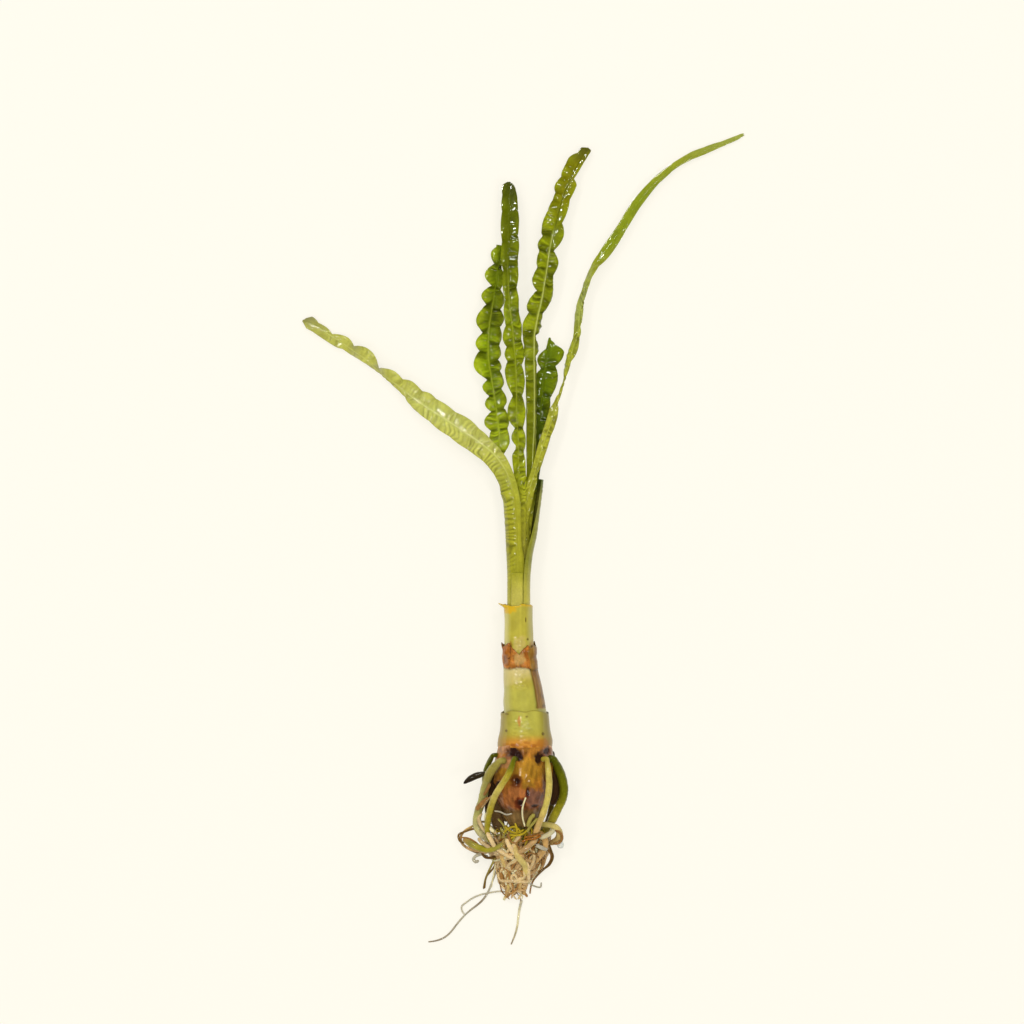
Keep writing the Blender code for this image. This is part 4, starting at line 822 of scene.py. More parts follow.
# Dark scars that old roots left on its front: x, y, half width, half height and depth. Each has an
# uneven outline, a raised rim and small pits.
SCAR_UNEVEN = 0.22
SCAR_GRAIN = 0.9
SCAR_EDGE = (0.55, 1.0)
SCAR_RIM = 1.1
SCAR_RIM_WIDTH = 0.2
SCAR_RIM_HEIGHT = 0.12
PIT_SIZE = 0.5
PIT_DEPTH = 0.12
SCARS = [
    (-3.6, -78.0, 3.4, 2.5, 0.9),
    (-1.6, -79.6, 1.8, 1.8, 0.6),
    (6.0, -80.2, 2.2, 2.7, 0.9),
    (8.6, -77.6, 1.7, 1.5, 0.5),
    (-2.4, -88.4, 1.3, 1.5, 0.6),
    (-1.2, -96.4, 1.5, 1.3, 0.4),
    (-9.6, -90.4, 1.6, 2.2, 0.5),
    (1.6, -92.6, 0.6, 1.9, 0.3),
    (4.2, -97.6, 1.6, 0.7, 0.3),
    (9.6, -86.0, 1.2, 2.6, 0.4),
]

# Colour zones of the bulb from below its basal plate up to the sheaths, and patches on its front:
# x, y, half width, half height, colour and how strongly it shows. The dark patches on both sides are
# painted shade.
BULB_STOPS = [
    (-105.6, "plate_olive"), (-101.5, "plate_grey"), (-99.9, "plate_grey"), (-99.0, "bulb_dark"),
    (-97.0, "bulb_red"), (-91.0, "bulb_orange"), (-84.0, "bulb_yellow"), (-80.0, "bulb_orange"),
    (-76.5, "band_orange"), (-73.5, "band_orange"),
]
BULB_PATCHES = [
    (2.0, -84.8, 3.4, 6.5, "bulb_yellow", 0.85),
    (-2.8, -94.2, 4.2, 4.4, "bulb_red", 0.9),
    (-6.0, -81.6, 2.6, 3.0, "bulb_pink", 0.7),
    (4.2, -94.8, 3.4, 3.6, "bulb_purple", 0.85),
    (8.6, -78.2, 2.8, 2.6, "bulb_purple", 0.8),
    (-6.4, -77.0, 3.2, 1.6, "bulb_pink", 0.7),
    # Painted shade on both sides of the bulb.
    (-9.4, -91.0, 2.0, 6.0, "bulb_dark", 0.5),
    (9.2, -90.0, 2.2, 7.0, "bulb_dark", 0.85),
    (-2.6, -88.4, 2.2, 2.6, "scar_red", 0.75),
    (-1.2, -96.4, 2.2, 2.4, "scar_red", 0.85),
    (1.4, -92.8, 0.9, 2.4, "scar_red", 0.8),
    (-3.4, -78.2, 4.0, 3.0, "scar_red", 0.5),
]

# Looks of the sleeves: colour of the rim and its depth in millimetres, colour of both flanks, painted for
# the light and shade where a sleeve turns away, where along Y the front is crinkled, colours along Y, and
# patches on the front as on the bulb.
SHEATH_LOOKS = {
    "sheath_lower": {
        "rim": "rim_olive", "rim_depth": 0.4, "flank": "sheath_flank", "crinkles": (-76.0, -66.0),
        "stops": [
            (-76.2, "band_orange"), (-74.2, "band_orange"), (-71.5, "sheath_olive"),
            (-69.0, "sheath_green"), (-62.0, "sheath_green"),
        ],
        "patches": [
            (-3.2, -75.4, 1.7, 0.9, "skin_brown", 0.85), (0.6, -75.8, 1.1, 0.5, "skin_brown", 0.6),
            (3.6, -75.5, 1.4, 0.7, "skin_brown", 0.7), (6.8, -74.8, 2.4, 1.9, "skin_brown", 0.5),
            (-6.0, -75.4, 1.6, 0.9, "skin_brown", 0.4), (1.4, -74.4, 1.2, 0.6, "skin_brown", 0.45),
            (-1.6, -66.4, 0.5, 2.2, "skin_orange", 0.8), (-6.4, -70.1, 0.5, 0.5, "rim_dark", 0.8),
            (7.2, -71.2, 0.6, 0.5, "rim_dark", 0.8), (1.2, -64.8, 0.5, 0.4, "rim_dark", 0.6),
            (-6.2, -64.0, 0.9, 0.35, "rim_dark", 0.6),
        ],
    },
    "sheath_middle": {
        "rim": "rim_dark", "rim_depth": 0.35, "flank": "sheath_side", "crinkles": (-54.0, -41.0),
        "stops": [
            (-66.0, "sheath_green"), (-56.0, "sheath_green"), (-52.0, "sheath_olive"),
            (-47.5, "sheath_cream"), (-37.0, "sheath_tan"),
        ],
        "patches": [
            (-4.6, -50.6, 4.0, 3.4, "sheath_cream", 0.45), (-1.4, -43.6, 2.2, 2.2, "sheath_tan", 0.5),
            (-6.2, -44.4, 1.4, 2.4, "skin_dark", 0.5), (4.6, -43.0, 1.0, 2.4, "skin_dark", 0.5),
            (6.9, -52.8, 0.5, 0.6, "rim_dark", 0.9), (7.4, -57.6, 0.5, 0.8, "rim_dark", 0.9),
            (7.6, -61.0, 0.6, 0.6, "rim_dark", 0.8), (-4.8, -39.6, 0.4, 2.4, "skin_dark", 0.7),
        ],
    },
    "sheath_upper": {
        "rim": "rim_yellow", "rim_depth": 1.2, "flank": "sheath_light", "crinkles": (-40.0, -36.0),
        "stops": [(-42.0, "sheath_pale"), (-30.0, "sheath_pale"), (-23.6, "sheath_pale")],
        "patches": [
            (0.9, -23.7, 0.6, 0.4, "rim_dark", 0.9), (2.0, -22.6, 0.5, 0.4, "rim_dark", 0.7),
            (0.8, -29.4, 0.3, 1.2, "rim_dark", 0.8), (1.5, -36.6, 0.4, 0.4, "rim_dark", 0.8),
            (-1.2, -38.4, 2.6, 3.0, "sheath_tan", 0.55), (-4.7, -39.8, 0.6, 2.2, "skin_brown", 0.6),
            (2.9, -39.4, 0.8, 2.4, "skin_brown", 0.5), (-6.0, -25.6, 3.6, 1.6, "rim_yellow", 0.85),
        ],
    },
}

# Noise around the sleeves: how many blobs go around, how long each is along Y, and its seed.
JAGS = (26, 1.0, 0)
VEINS = (44, 14.0, 1)
LUMPS = (7, 5.0, 2)
RIDGES = (80, 20.0, 3)
SKIN_RAGS = (9, 50.0, 4)
STRIP_RAGS = (3, 3.0, 5)
TEARS = (14, 1.6, 6)
CRINKLES = (44, 0.55, 7)

# Heights of the relief of the sleeves.
VEIN_HEIGHT = 0.05
SLEEVE_LUMP_HEIGHT = 0.26
RIDGE_HEIGHT = 0.03
STRIP_HEIGHT = 0.12
TEAR_HEIGHT = 0.3
CRINKLE_HEIGHT = 0.26

# Torn brown skin covers one sleeve above SKIN_LOW, and a papery strip covers its right side above
# STRIP_LOW. Angles are in degrees, and each edge has its raggedness, its blur and the width of its rim.
TORN_SLEEVE = "sheath_middle"
SKIN_LOW = -47.3
SKIN_RAGGED = 0.8
SKIN_BLUR = 0.3
SKIN_RIM = 0.5
STRIP_LOW = -62.0
STRIP_END = 0.5
STRIP_MIDDLE = -40.0
STRIP_HALF = 96.0
STRIP_RAGGED = 5.0
STRIP_BLUR = 2.0
STRIP_RIM = 4.0

# Crinkles on the front fade along Y and around. The rim flares out on the left.
CRINKLE_ANGLE = 96.0
CRINKLE_SPREAD = (12.0, 34.0)
CRINKLE_FADE = 1.5
FLARE_ANGLE = 172.0
FLARE_SPREAD = 34.0
FLARE_DEPTH = 1.8
FLARE = {"sheath_lower": 0.3, "sheath_middle": 0.5, "sheath_upper": 2.2}

# Sleeves get thinner towards the rim: thickness at the rim, and how much it grows per millimetre.
RIM_THICKNESS = 0.15
RIM_GROWTH = 0.3

# Light and dark on the sleeves: painted shade on the right side, darker rims of the torn skin and its
# strip, painted light on tears and crinkles, and flank colours painted for light and shade. The right
# side and the flanks begin at cosines of the angle around.
RIGHT_SHADE = 0.26
RIGHT_SIDE = (0.4, 0.9)
TORN_RIM_SHADE = 0.4
TEAR_LIGHT = 0.25
CRINKLE_LIGHT = 0.12
FLANKS = (0.45, 0.95)
FLANK_SHARE = 0.75
RIM_SHARE = 0.85
VEIN_LIGHT = (0.91, 1.06)

# Roots: colours by share of the length, from where each one grows to its tip.
ROOT_LOOKS = {
    "root_left_outer": [(0.0, "root_dark_green"), (0.45, "root_green"), (1.0, "root_brown")],
    "root_left": [
        (0.0, "root_olive"), (0.25, "root_olive"), (0.42, "root_grey_green"), (0.6, "root_grey_green"),
        (1.0, "root_pale"),
    ],
    "root_front_left": [
        (0.0, "root_dark_green"), (0.12, "root_green"), (0.2, "root_yellow"), (0.34, "root_cream_green"),
        (0.5, "root_yellow"), (0.8, "root_yellow_green"), (1.0, "root_cream"),
    ],
    "root_front_right": [
        (0.0, "root_yellow"), (0.2, "root_cream_green"), (0.45, "root_cream_green"), (0.7, "root_tan"),
        (1.0, "root_orange"),
    ],
    "root_right_outer": [
        (0.0, "root_dark_green"), (0.5, "root_green"), (0.7, "root_yellow_green"), (1.0, "root_olive"),
    ],
    "root_under_right": [
        (0.0, "root_dead"), (0.4, "root_dark_green"), (0.8, "rootlet_dark"), (1.0, "root_tan"),
    ],
    "root_dead": [(0.0, "root_dead_grey"), (0.45, "root_dead"), (1.0, "root_black")],
    "root_curl_middle": [(0.0, "root_tan"), (0.5, "root_cream"), (1.0, "root_tan")],
    "root_curl_left": [(0.0, "root_olive"), (0.3, "root_tan"), (0.7, "root_cream"), (1.0, "root_tan")],
    "root_curl_right": [(0.0, "root_orange"), (0.4, "root_tan"), (1.0, "root_tan")],
    "root_loop_right": [(0.0, "root_olive"), (0.4, "root_cream"), (1.0, "root_tan")],
    "root_knob_left": [
        (0.0, "root_olive"), (0.5, "root_yellow_green"), (0.8, "root_olive"), (1.0, "root_brown"),
    ],
    "root_loop_left": [(0.0, "root_olive"), (0.4, "root_tan"), (1.0, "root_grey_brown")],
    "root_low": [(0.0, "root_brown"), (1.0, "root_tan")],
    "root_long": [
        (0.0, "root_grey"), (0.3, "root_grey"), (0.42, "root_grey_brown"), (0.6, "root_grey"),
        (1.0, "root_grey_brown"),
    ],
    "root_tail": [(0.0, "root_grey"), (0.4, "root_pale"), (1.0, "root_grey_brown")],
    "root_right_thin": [(0.0, "root_brown"), (0.4, "rootlet_dark"), (1.0, "root_brown")],
    "root_left_thin": [(0.0, "root_olive"), (1.0, "rootlet_dark")],
}

# Rootlets listed one by one, by colour: radius, flatness (1 is round), and the points each one passes.
ROOTLETS = {
    "pale": [
        (0.32, 1, [(0.8, -94.3, 21.4), (-0.3, -97.9, 20.4), (-0.3, -102.0, 18.2), (0.5, -105.2, 16.8)]),
        (0.95, 0.7, [(5.6, -109.6, 12.4), (7.5, -109.1, 12.8), (9.4, -108.2, 12.6), (11.4, -106.5, 11.6)]),
        (0.3, 1, [(-9.8, -117.2, 5.6), (-10.5, -120.9, 4.2), (-11.2, -124.7, 2.8), (-11.9, -128.6, 1.4)]),
        (0.7, 0.8, [
            (-13.4, -100.3, 10.4), (-13.8, -102.9, 10.8), (-12.7, -105.4, 11.4), (-10.9, -107.6, 12.0)]),
    ],
    "white": [
        (1.6, 0.7, [(12.3, -111.8, 6.6), (13.7, -112.6, 6.2), (14.4, -113.7, 5.6)]),
    ],
    "grey": [
        (0.3, 1, [(-10.7, -99.5, 17.5), (-8.6, -99.8, 17.8), (-6.4, -100.8, 17.8), (-4.2, -100.5, 17.4)]),
        (0.8, 0.6, [(4.6, -112.1, 11.8), (6.4, -113.2, 11.2), (8.8, -114.1, 10.0)]),
        (0.62, 1, [
            (-13.8, -115.6, 5.4), (-15.8, -116.1, 5.2), (-17.7, -116.9, 4.8), (-18.4, -118.1, 4.4),
            (-17.6, -119.0, 4.2), (-16.4, -118.5, 4.2)]),
        (0.34, 1, [
            (-4.6, -130.8, 1.6), (-7.9, -130.1, 1.2), (-13.0, -130.7, 0.9), (-16.6, -131.6, 0.8),
            (-20.6, -133.8, 0.7), (-22.9, -136.1, 0.6), (-22.7, -137.3, 0.6), (-21.7, -138.7, 0.9)]),
        (0.3, 1, [(2.3, -127.2, 1.6), (4.5, -128.3, 1.0), (6.3, -128.5, 0.8), (6.6, -126.8, 0.6)]),
    ],
    "cream": [
        (0.85, 0.8, [
            (-13.4, -107.6, 12.5), (-12.0, -110.2, 13.0), (-10.5, -112.8, 12.6), (-7.2, -115.4, 11.6),
            (-3.5, -117.4, 10.4)]),
        (0.75, 0.7, [
            (-16.7, -109.8, 10.2), (-14.9, -111.7, 11.2), (-12.3, -113.5, 11.6), (-8.6, -116.0, 10.8)]),
        (0.85, 0.8, [
            (-2.8, -117.4, 9.6), (-0.6, -118.3, 9.8), (1.6, -120.3, 8.6), (1.1, -122.7, 7.0),
            (-0.2, -124.6, 5.6), (-1.7, -126.2, 4.4)]),
        (0.9, 0.8, [
            (-6.4, -109.8, 13.6), (-5.3, -112.4, 13.2), (-3.5, -115.0, 12.0), (-0.9, -116.8, 10.6)]),
        (0.7, 0.8, [(-4.2, -112.8, 12.0), (-6.1, -115.0, 10.8), (-7.5, -117.9, 9.0), (-7.5, -121.3, 7.2)]),
        (0.6, 1, [(3.5, -114.3, 10.4), (3.9, -117.2, 9.4), (2.8, -120.5, 8.0), (0.9, -123.8, 6.4)]),
        (0.8, 0.8, [
            (-15.6, -100.3, 8.6), (-16.4, -102.9, 8.8), (-15.3, -105.8, 9.4), (-13.1, -108.0, 10.6)]),
    ],
    "tan": [
        (0.3, 1, [(-15.5, -98.7, 13.2), (-13.8, -96.6, 14.4), (-11.8, -94.0, 15.6)]),
        (1.0, 0.8, [(5.0, -109.8, 13.6), (2.4, -112.1, 13.6), (0.2, -113.9, 13.0), (-2.4, -115.0, 12.0)]),
        (1.3, 0.3, [(-6.8, -119.4, 7.0), (-6.1, -123.1, 6.4), (-5.5, -127.1, 5.0), (-5.7, -131.6, 3.2)]),
        (0.6, 0.7, [
            (-21.2, -113.5, 5.2), (-18.6, -114.4, 5.8), (-15.9, -114.9, 6.4), (-13.0, -115.4, 7.0)]),
        (0.9, 0.8, [(-1.3, -112.8, 12.2), (-0.2, -116.1, 10.8), (-1.3, -119.4, 9.0), (-3.5, -122.4, 7.4)]),
        (0.8, 0.7, [(6.4, -114.3, 9.4), (5.0, -116.8, 8.4), (2.4, -119.4, 7.4), (0.2, -122.4, 6.0)]),
        (0.7, 0.8, [(-10.1, -112.8, 11.0), (-9.0, -115.4, 10.4), (-6.8, -118.3, 9.2), (-5.7, -121.3, 8.0)]),
    ],
    "brown": [
        (0.6, 0.6, [(-14.6, -94.0, 13.4), (-13.4, -92.0, 14.4), (-12.2, -89.4, 15.2)]),
        (0.9, 0.35, [(-17.5, -99.5, 10.5), (-15.3, -97.0, 12.5), (-12.7, -94.8, 13.5)]),
        (0.55, 1, [
            (10.3, -106.5, 10.6), (12.3, -107.1, 10.8), (14.0, -108.7, 10.0), (14.1, -110.4, 9.0),
            (13.1, -111.7, 8.2), (11.0, -112.1, 8.0)]),
        (0.4, 1, [
            (0.6, -115.4, 9.6), (2.3, -115.4, 9.4), (5.6, -116.1, 8.0), (7.0, -117.8, 6.2),
            (7.0, -120.2, 4.6)]),
        (1.2, 0.35, [(-2.0, -125.3, 4.4), (-0.9, -127.9, 3.6), (-1.4, -130.8, 2.6)]),
        (0.5, 0.6, [(-1.7, -129.0, 3.2), (-3.7, -131.4, 1.9)]),
        (0.5, 0.6, [(-0.6, -129.0, 3.2), (1.5, -132.1, 1.6)]),
        (0.3, 1, [(-23.4, -109.8, 7.4), (-20.4, -110.0, 8.2), (-17.8, -111.3, 8.8), (-15.6, -113.3, 9.0)]),
        (0.8, 0.6, [(-8.6, -120.9, 6.4), (-7.9, -124.6, 5.2), (-6.8, -128.2, 3.6)]),
    ],
    "dark": [
        (0.32, 1, [(-7.3, -100.8, 17.6), (-6.1, -102.7, 17.2), (-4.7, -104.6, 16.2)]),
        (0.3, 1, [(1.3, -108.6, 15.6), (3.5, -108.2, 15.9), (6.4, -107.5, 15.6)]),
        (0.42, 1, [
            (9.4, -112.4, 8.0), (10.3, -114.9, 7.0), (10.9, -117.0, 5.6), (9.6, -120.0, 4.4),
            (6.7, -122.1, 3.4), (3.0, -125.4, 2.6), (0.1, -128.3, 2.2), (0.5, -130.5, 1.8)]),
        (0.5, 1, [
            (-9.4, -117.0, 6.4), (-12.0, -117.4, 6.0), (-14.2, -117.1, 5.6), (-15.1, -115.9, 5.8),
            (-14.4, -114.5, 6.6)]),
        (0.36, 1, [
            (-9.0, -116.5, 6.0), (-9.5, -117.9, 5.0), (-11.2, -121.4, 3.4), (-13.7, -124.7, 2.0),
            (-14.4, -129.0, 0.8)]),
        (0.42, 1, [
            (-16.7, -106.4, 6.4), (-18.4, -106.7, 6.0), (-21.7, -107.8, 5.4), (-23.9, -109.0, 5.0),
            (-23.6, -111.0, 4.8), (-22.0, -112.1, 5.0)]),
    ],
    "olive": [
        (0.8, 1, [(4.1, -100.6, 18.4), (2.8, -101.9, 17.8), (2.0, -103.6, 16.8), (1.5, -105.4, 15.4)]),
        (0.6, 1, [(5.3, -102.1, 17.0), (3.9, -103.6, 16.8), (2.4, -105.4, 15.6), (1.3, -107.6, 14.2)]),
        (0.35, 1, [(-9.4, -102.5, 14.5), (-7.5, -104.7, 14.8), (-6.8, -107.3, 14.4), (-7.9, -109.8, 13.0)]),
        (1.1, 0.9, [
            (-22.3, -110.7, 6.0), (-19.9, -111.5, 6.8), (-17.3, -113.0, 7.4), (-15.3, -114.4, 7.6)]),
    ],
    # Flat dark sheets of dead skin between the roots and the bulb, darkened as painted shade.
    "black": [
        (2.3, 0.3, [(-9.2, -82.0, 15.0), (-10.6, -87.0, 13.2), (-11.8, -92.0, 11.0), (-12.4, -97.5, 8.6)]),
        (1.7, 0.35, [(-11.0, -93.0, 9.0), (-12.6, -98.0, 8.0), (-12.2, -103.0, 7.0)]),
        (2.0, 0.35, [(9.8, -82.5, 14.0), (11.6, -87.5, 11.6), (12.0, -92.0, 9.6), (10.6, -98.0, 7.8)]),
    ],
    # Flat brown sheets of dead flakes behind the roots, darkened as painted shade.
    "flakes_and_shade": [
        (2.2, 0.3, [(-7.2, -92.4, 11.0), (-8.2, -96.6, 9.4), (-9.0, -100.4, 8.4), (-8.6, -103.6, 7.4)]),
        (2.3, 0.3, [(-9.8, -98.4, 8.2), (-9.6, -103.0, 8.6), (-8.6, -107.6, 9.4)]),
        (1.9, 0.3, [(-4.6, -97.6, 12.6), (-5.8, -100.6, 11.2), (-6.8, -103.8, 9.4)]),
        (1.5, 0.3, [(-10.2, -96.0, 9.4), (-10.8, -99.6, 8.2), (-10.2, -103.0, 7.2)]),
    ],
    "yellow": [
        (0.4, 1, [(-6.8, -105.4, 15.5), (-5.0, -106.9, 15.8), (-2.4, -107.6, 15.6), (0.2, -106.5, 15.0)]),
        (0.45, 1, [(-5.3, -108.4, 14.6), (-2.8, -108.6, 15.2), (-0.2, -108.0, 15.0), (1.7, -106.5, 14.4)]),
        (0.4, 1, [
            (-7.5, -108.0, 14.0), (-5.7, -106.2, 15.4), (-3.5, -105.4, 15.8), (-1.7, -106.5, 15.6),
            (-0.9, -108.4, 14.4)]),
        (0.35, 1, [(-3.1, -104.0, 16.4), (-2.4, -106.2, 16.0), (-2.8, -108.4, 15.0), (-4.6, -109.8, 13.8)]),
    ],
    "orange": [
        (0.4, 1, [(0.2, -109.3, 14.8), (2.8, -108.9, 15.4), (5.9, -108.0, 15.2)]),
        (0.45, 1, [(-0.6, -111.0, 13.8), (1.7, -110.0, 14.4), (4.2, -109.8, 14.6), (6.4, -108.7, 14.0)]),
    ],
}
ROOTLET_COLOURS = {
    "pale": "root_pale", "white": "root_white", "grey": "root_grey", "cream": "rootlet_cream",
    "tan": "rootlet_tan", "brown": "root_brown", "dark": "rootlet_dark", "olive": "root_olive",
    "black": "dead_skin_and_shade", "flakes_and_shade": "flake_and_shade_brown", "yellow": "rootlet_yellow", "orange": "rootlet_orange",
}

# Where the tangle that rootlets fill lies: place along Y, middle, half width, lowest and highest point.
TANGLE = [
    (-103.0, -1.5, 9.0, 2.5, 15.0), (-107.0, -2.0, 12.0, 1.0, 15.0), (-114.0, -2.2, 11.5, 0.8, 13.0),
    (-120.5, -1.6, 8.6, 0.6, 10.0), (-126.8, -3.6, 5.0, 0.5, 7.0), (-131.5, -3.9, 3.8, 0.4, 4.5),
    (-134.0, -4.0, 2.4, 0.4, 2.4),
]

# Kinds of rootlets in it: colour, count, least and greatest radius, first and last Y of their starts,
# greatest number of steps, and how strongly they turn.
TANGLE_KINDS = [
    ("yellow", 34, 0.2, 0.42, -104.0, -109.0, 30, 0.2),
    ("olive", 14, 0.25, 0.6, -103.0, -109.0, 30, 0.14),
    ("orange", 8, 0.2, 0.4, -107.0, -112.0, 30, 0.12),
    ("tan", 44, 0.55, 1.1, -106.0, -124.0, 48, 0.13),
    ("cream", 48, 0.5, 1.05, -106.0, -124.0, 48, 0.13),
    ("brown", 36, 0.25, 0.6, -105.0, -123.0, 44, 0.1),
    ("dark", 24, 0.14, 0.28, -105.0, -122.0, 44, 0.1),
    ("pale", 30, 0.25, 0.7, -106.0, -125.0, 44, 0.1),
]

# Each rootlet starts within TANGLE_FILL of the half width, heads about DOWNWARD in degrees, bends at
# random and is drawn home to the middle. It frays out above the tangle's lower end.
TANGLE_SEED = 11
TANGLE_STEP = 0.5
TANGLE_SHORTEST = 0.45
TANGLE_FILL = 0.85
TANGLE_CROWN = 0.8
TANGLE_FRAY = 9.0
TANGLE_TOP = BASAL_END_Y + 3.0
DEPTH_POWER = 0.7
DOWNWARD = -90.0
HEADING_SPREAD = 60.0
BEND_KEPT = 0.85
HOME_PULL = 0.2
HOME_STEEPNESS = 2
STRAND_TAPER = 0.5

# Ends of the plant along Y, which colours along it are counted between.
PLANT_LOW = -150.0
PLANT_HIGH = 150.0

# Patches: unevenness, grain and blur of their edges, and how far above the axis the front begins.
PATCH_UNEVEN = 0.3
PATCH_GRAIN = 1.0
PATCH_EDGE = (0.7, 1.2)
FRONT_EDGE = (-1.0, 2.0)

# Seeds of the noise on each kind of piece.
LUMP_SEED = 3
WRINKLE_SEED = 4
SCAR_SEED = 20
PIT_SEED = 40
BULB_PATCH_SEED = 60
SWELL_SEED = 70
GRAIN_SEED = 71

# Skins: roughness, strength of the wet coat, softness, and size, depth and stretch along Y of the
# bumps. Then mottling: size, detail and stretch along Y of the blotches, the part of their noise that
# is used, and the darkest and lightest shade.
SKINS = {
    "leaf": {
        "roughness": 0.4, "coat": 0.65, "soft": 0.05, "bump": (1.5, 0.05, 1.0),
        "mottling": [(5.0, 2.0, 1.0, (0.3, 0.7), (0.86, 1.12)), (0.8, 3.0, 1.0, (0.3, 0.7), (0.9, 1.08))],
    },
    "sheath": {
        "roughness": 0.4, "coat": 0.7, "soft": 0.1, "bump": (1.2, 0.1, 0.4),
        "mottling": [(4.0, 2.0, 1.0, (0.35, 0.65), (0.9, 1.08))],
    },
    "bulb": {
        "roughness": 0.4, "coat": 0.7, "soft": 0.08, "bump": (1.0, 0.16, 1.0),
        "mottling": [(1.4, 3.0, 0.5, (0.3, 0.7), (0.7, 1.22)), (0.45, 2.0, 1.0, (0.3, 0.7), (0.86, 1.1))],
    },
    "root": {
        "roughness": 0.45, "coat": 0.6, "soft": 0.1, "bump": (1.2, 0.12, 1.0),
        "mottling": [(2.2, 3.0, 1.0, (0.3, 0.7), (0.8, 1.12)), (0.5, 2.0, 1.0, (0.3, 0.7), (0.9, 1.08))],
    },
    "rootlet": {
        "roughness": 0.45, "coat": 0.5, "soft": 0.15, "bump": (1.0, 0.06, 1.0),
        "mottling": [(1.6, 3.0, 1.0, (0.3, 0.7), (0.82, 1.12))],
    },
}

# The same on all skins: the coat's roughness, the gloss under it, and how far light gets into a soft
# skin, in metres and by colour.
COAT_ROUGHNESS = 0.07
BASE_GLOSS = 0.04
SOFT_DEPTH = 0.001
SOFT_RADIUS = (1.0, 0.8, 0.35)
BUMP_DETAIL = 1.0

# Painted shades of the bulb from its crests to its hollows, and shades of the darkest and lightest rootlet.
HOLLOW_LIGHT = (1.05, 0.6)
STRAND_LIGHT = (0.72, 1.15)

# Torn skin and paper, each of two colours mixed by noise: size and stretch along Y of the blotches, the
# part of their noise that is used, and the colours. Dark spots lie on the torn skin.
TORN_SKIN = (1.6, 0.4, (0.35, 0.65), "skin_brown", "skin_orange")
PAPER_STRIP = (1.2, 0.25, (0.35, 0.65), "paper_brown", "paper_tan")
DARK_SPOT_SIZE = 0.9
DARK_SPOTS = (0.55, 0.75)

# The floor's size, its own grey and the strength of the light that it gives off.
FLOOR_SIZE = 6000.0
FLOOR_ALBEDO = (0.21, 0.195, 0.172)
FLOOR_GLOW = 0.75

# Whole numbers that turn a noise's cell and seed into a value without order.
CELL_FACTORS = (73856093, 19349663, 83492791)
SEED_FACTOR = 265443576
MIX_ROUNDS = [(15, 1103515245, 12345), (13, 1274126177, 0)]
MIX_MASK = 0x7FFFFFFF
VALUE_SHIFT = 8
VALUE_MASK = 0xFFFF

# Sockets of a node that mixes two colours.
FIRST_COLOUR, SECOND_COLOUR, MIXED_COLOUR = 6, 7, 2


def screen_colour(name):
    """A named colour as the linear values that shaders take."""
    shares = np.array(COLOURS[name]) / SCREEN_LEVELS
    curved = ((shares + CURVE_OFFSET) / (1 + CURVE_OFFSET)) ** CURVE_POWER
    return (*np.where(shares <= STRAIGHT_END, shares / STRAIGHT_SCALE, curved), 1.0)


def unit(vectors):
    """Scale vectors to length one."""
    return vectors / np.linalg.norm(vectors, axis=-1, keepdims=True)


def smooth_step(low, high, values):
    """A smooth rise from 0 at low to 1 at high."""
    share = np.clip((values - low) / (high - low), 0.0, 1.0)
    return share * share * (3 - 2 * share)


def lattice_noise(x, y, z, seed):
    """Smooth noise from -1 to 1, with one unit between the points of its lattice."""
    x, y, z = np.broadcast_arrays(x, y, z)
    places = np.stack([x, y, z], axis=-1).astype(float)
    cell = np.floor(places).astype(np.int64)
    part = places - cell
    part = part * part * (3 - 2 * part)
    total = np.zeros(x.shape)
    for corner in product((0, 1), repeat=3):
        index = cell + np.array(corner)
        mixed = np.bitwise_xor.reduce(index * np.array(CELL_FACTORS), axis=-1)
        mixed = (mixed ^ (seed * SEED_FACTOR)) & MIX_MASK
        for shift, factor, added in MIX_ROUNDS:
            mixed = ((mixed ^ (mixed >> shift)) * factor + added) & MIX_MASK
        value = 2 * ((mixed >> VALUE_SHIFT) & VALUE_MASK) / VALUE_MASK - 1.0
        weight = np.prod(np.where(np.array(corner) == 1, part, 1 - part), axis=-1)
        total = total + value * weight
    return total


def blobs(points, size, seed):
    """Noise from -1 to 1 at points, with blobs of a size in millimetres along each axis."""
    x, y, z = np.moveaxis(points / np.array(size), -1, 0)
    return lattice_noise(x, y, z, seed)


def smooth_rows(rows, places):
    """Read rows of numbers at places along a smooth curve through them. Place is the arc length."""
    rows = np.asarray(rows, dtype=float)
    steps = np.linalg.norm(np.diff(rows[:, :3], axis=0), axis=1)
    knots = np.concatenate([[0.0], np.cumsum(steps)])
    slopes = np.gradient(rows, knots, axis=0)
    index = np.clip(np.searchsorted(knots, places, side="right") - 1, 0, len(knots) - 2)
    span = (knots[index + 1] - knots[index])[:, None]
    t = (np.asarray(places)[:, None] - knots[index][:, None]) / span
    start, end = rows[index], rows[index + 1]
    start_slope, end_slope = slopes[index] * span, slopes[index + 1] * span
    return ((2 * t**3 - 3 * t**2 + 1) * start + (t**3 - 2 * t**2 + t) * start_slope
            + (3 * t**2 - 2 * t**3) * end + (t**3 - t**2) * end_slope)


def row_length(rows):
    """Length of the straight runs between the rows' points."""
    return np.linalg.norm(np.diff(np.asarray(rows)[:, :3], axis=0), axis=1).sum()


def sampled(rows, step):
    """Rows read at even steps along the smooth curve through their points."""
    length = row_length(rows)
    return smooth_rows(rows, np.linspace(0.0, length - END_GAP, int(length / step)))


def ring_faces(ring_count, ring_size, closed):
    """Faces of a skin over rings of points. A closed skin has a face at both ends."""
    step = np.arange(ring_size)
    following = (step + 1) % ring_size
    low = (np.arange(ring_count - 1) * ring_size)[:, None]
    high = low + ring_size
    sides = np.stack([low + step, low + following, high + following, high + step], axis=-1)
    faces = sides.reshape(-1, 4).tolist()
    if closed:
        last = (ring_count - 1) * ring_size
        faces.append(list(range(ring_size - 1, -1, -1)))
        faces.append(list(range(last, last + ring_size)))
    return faces


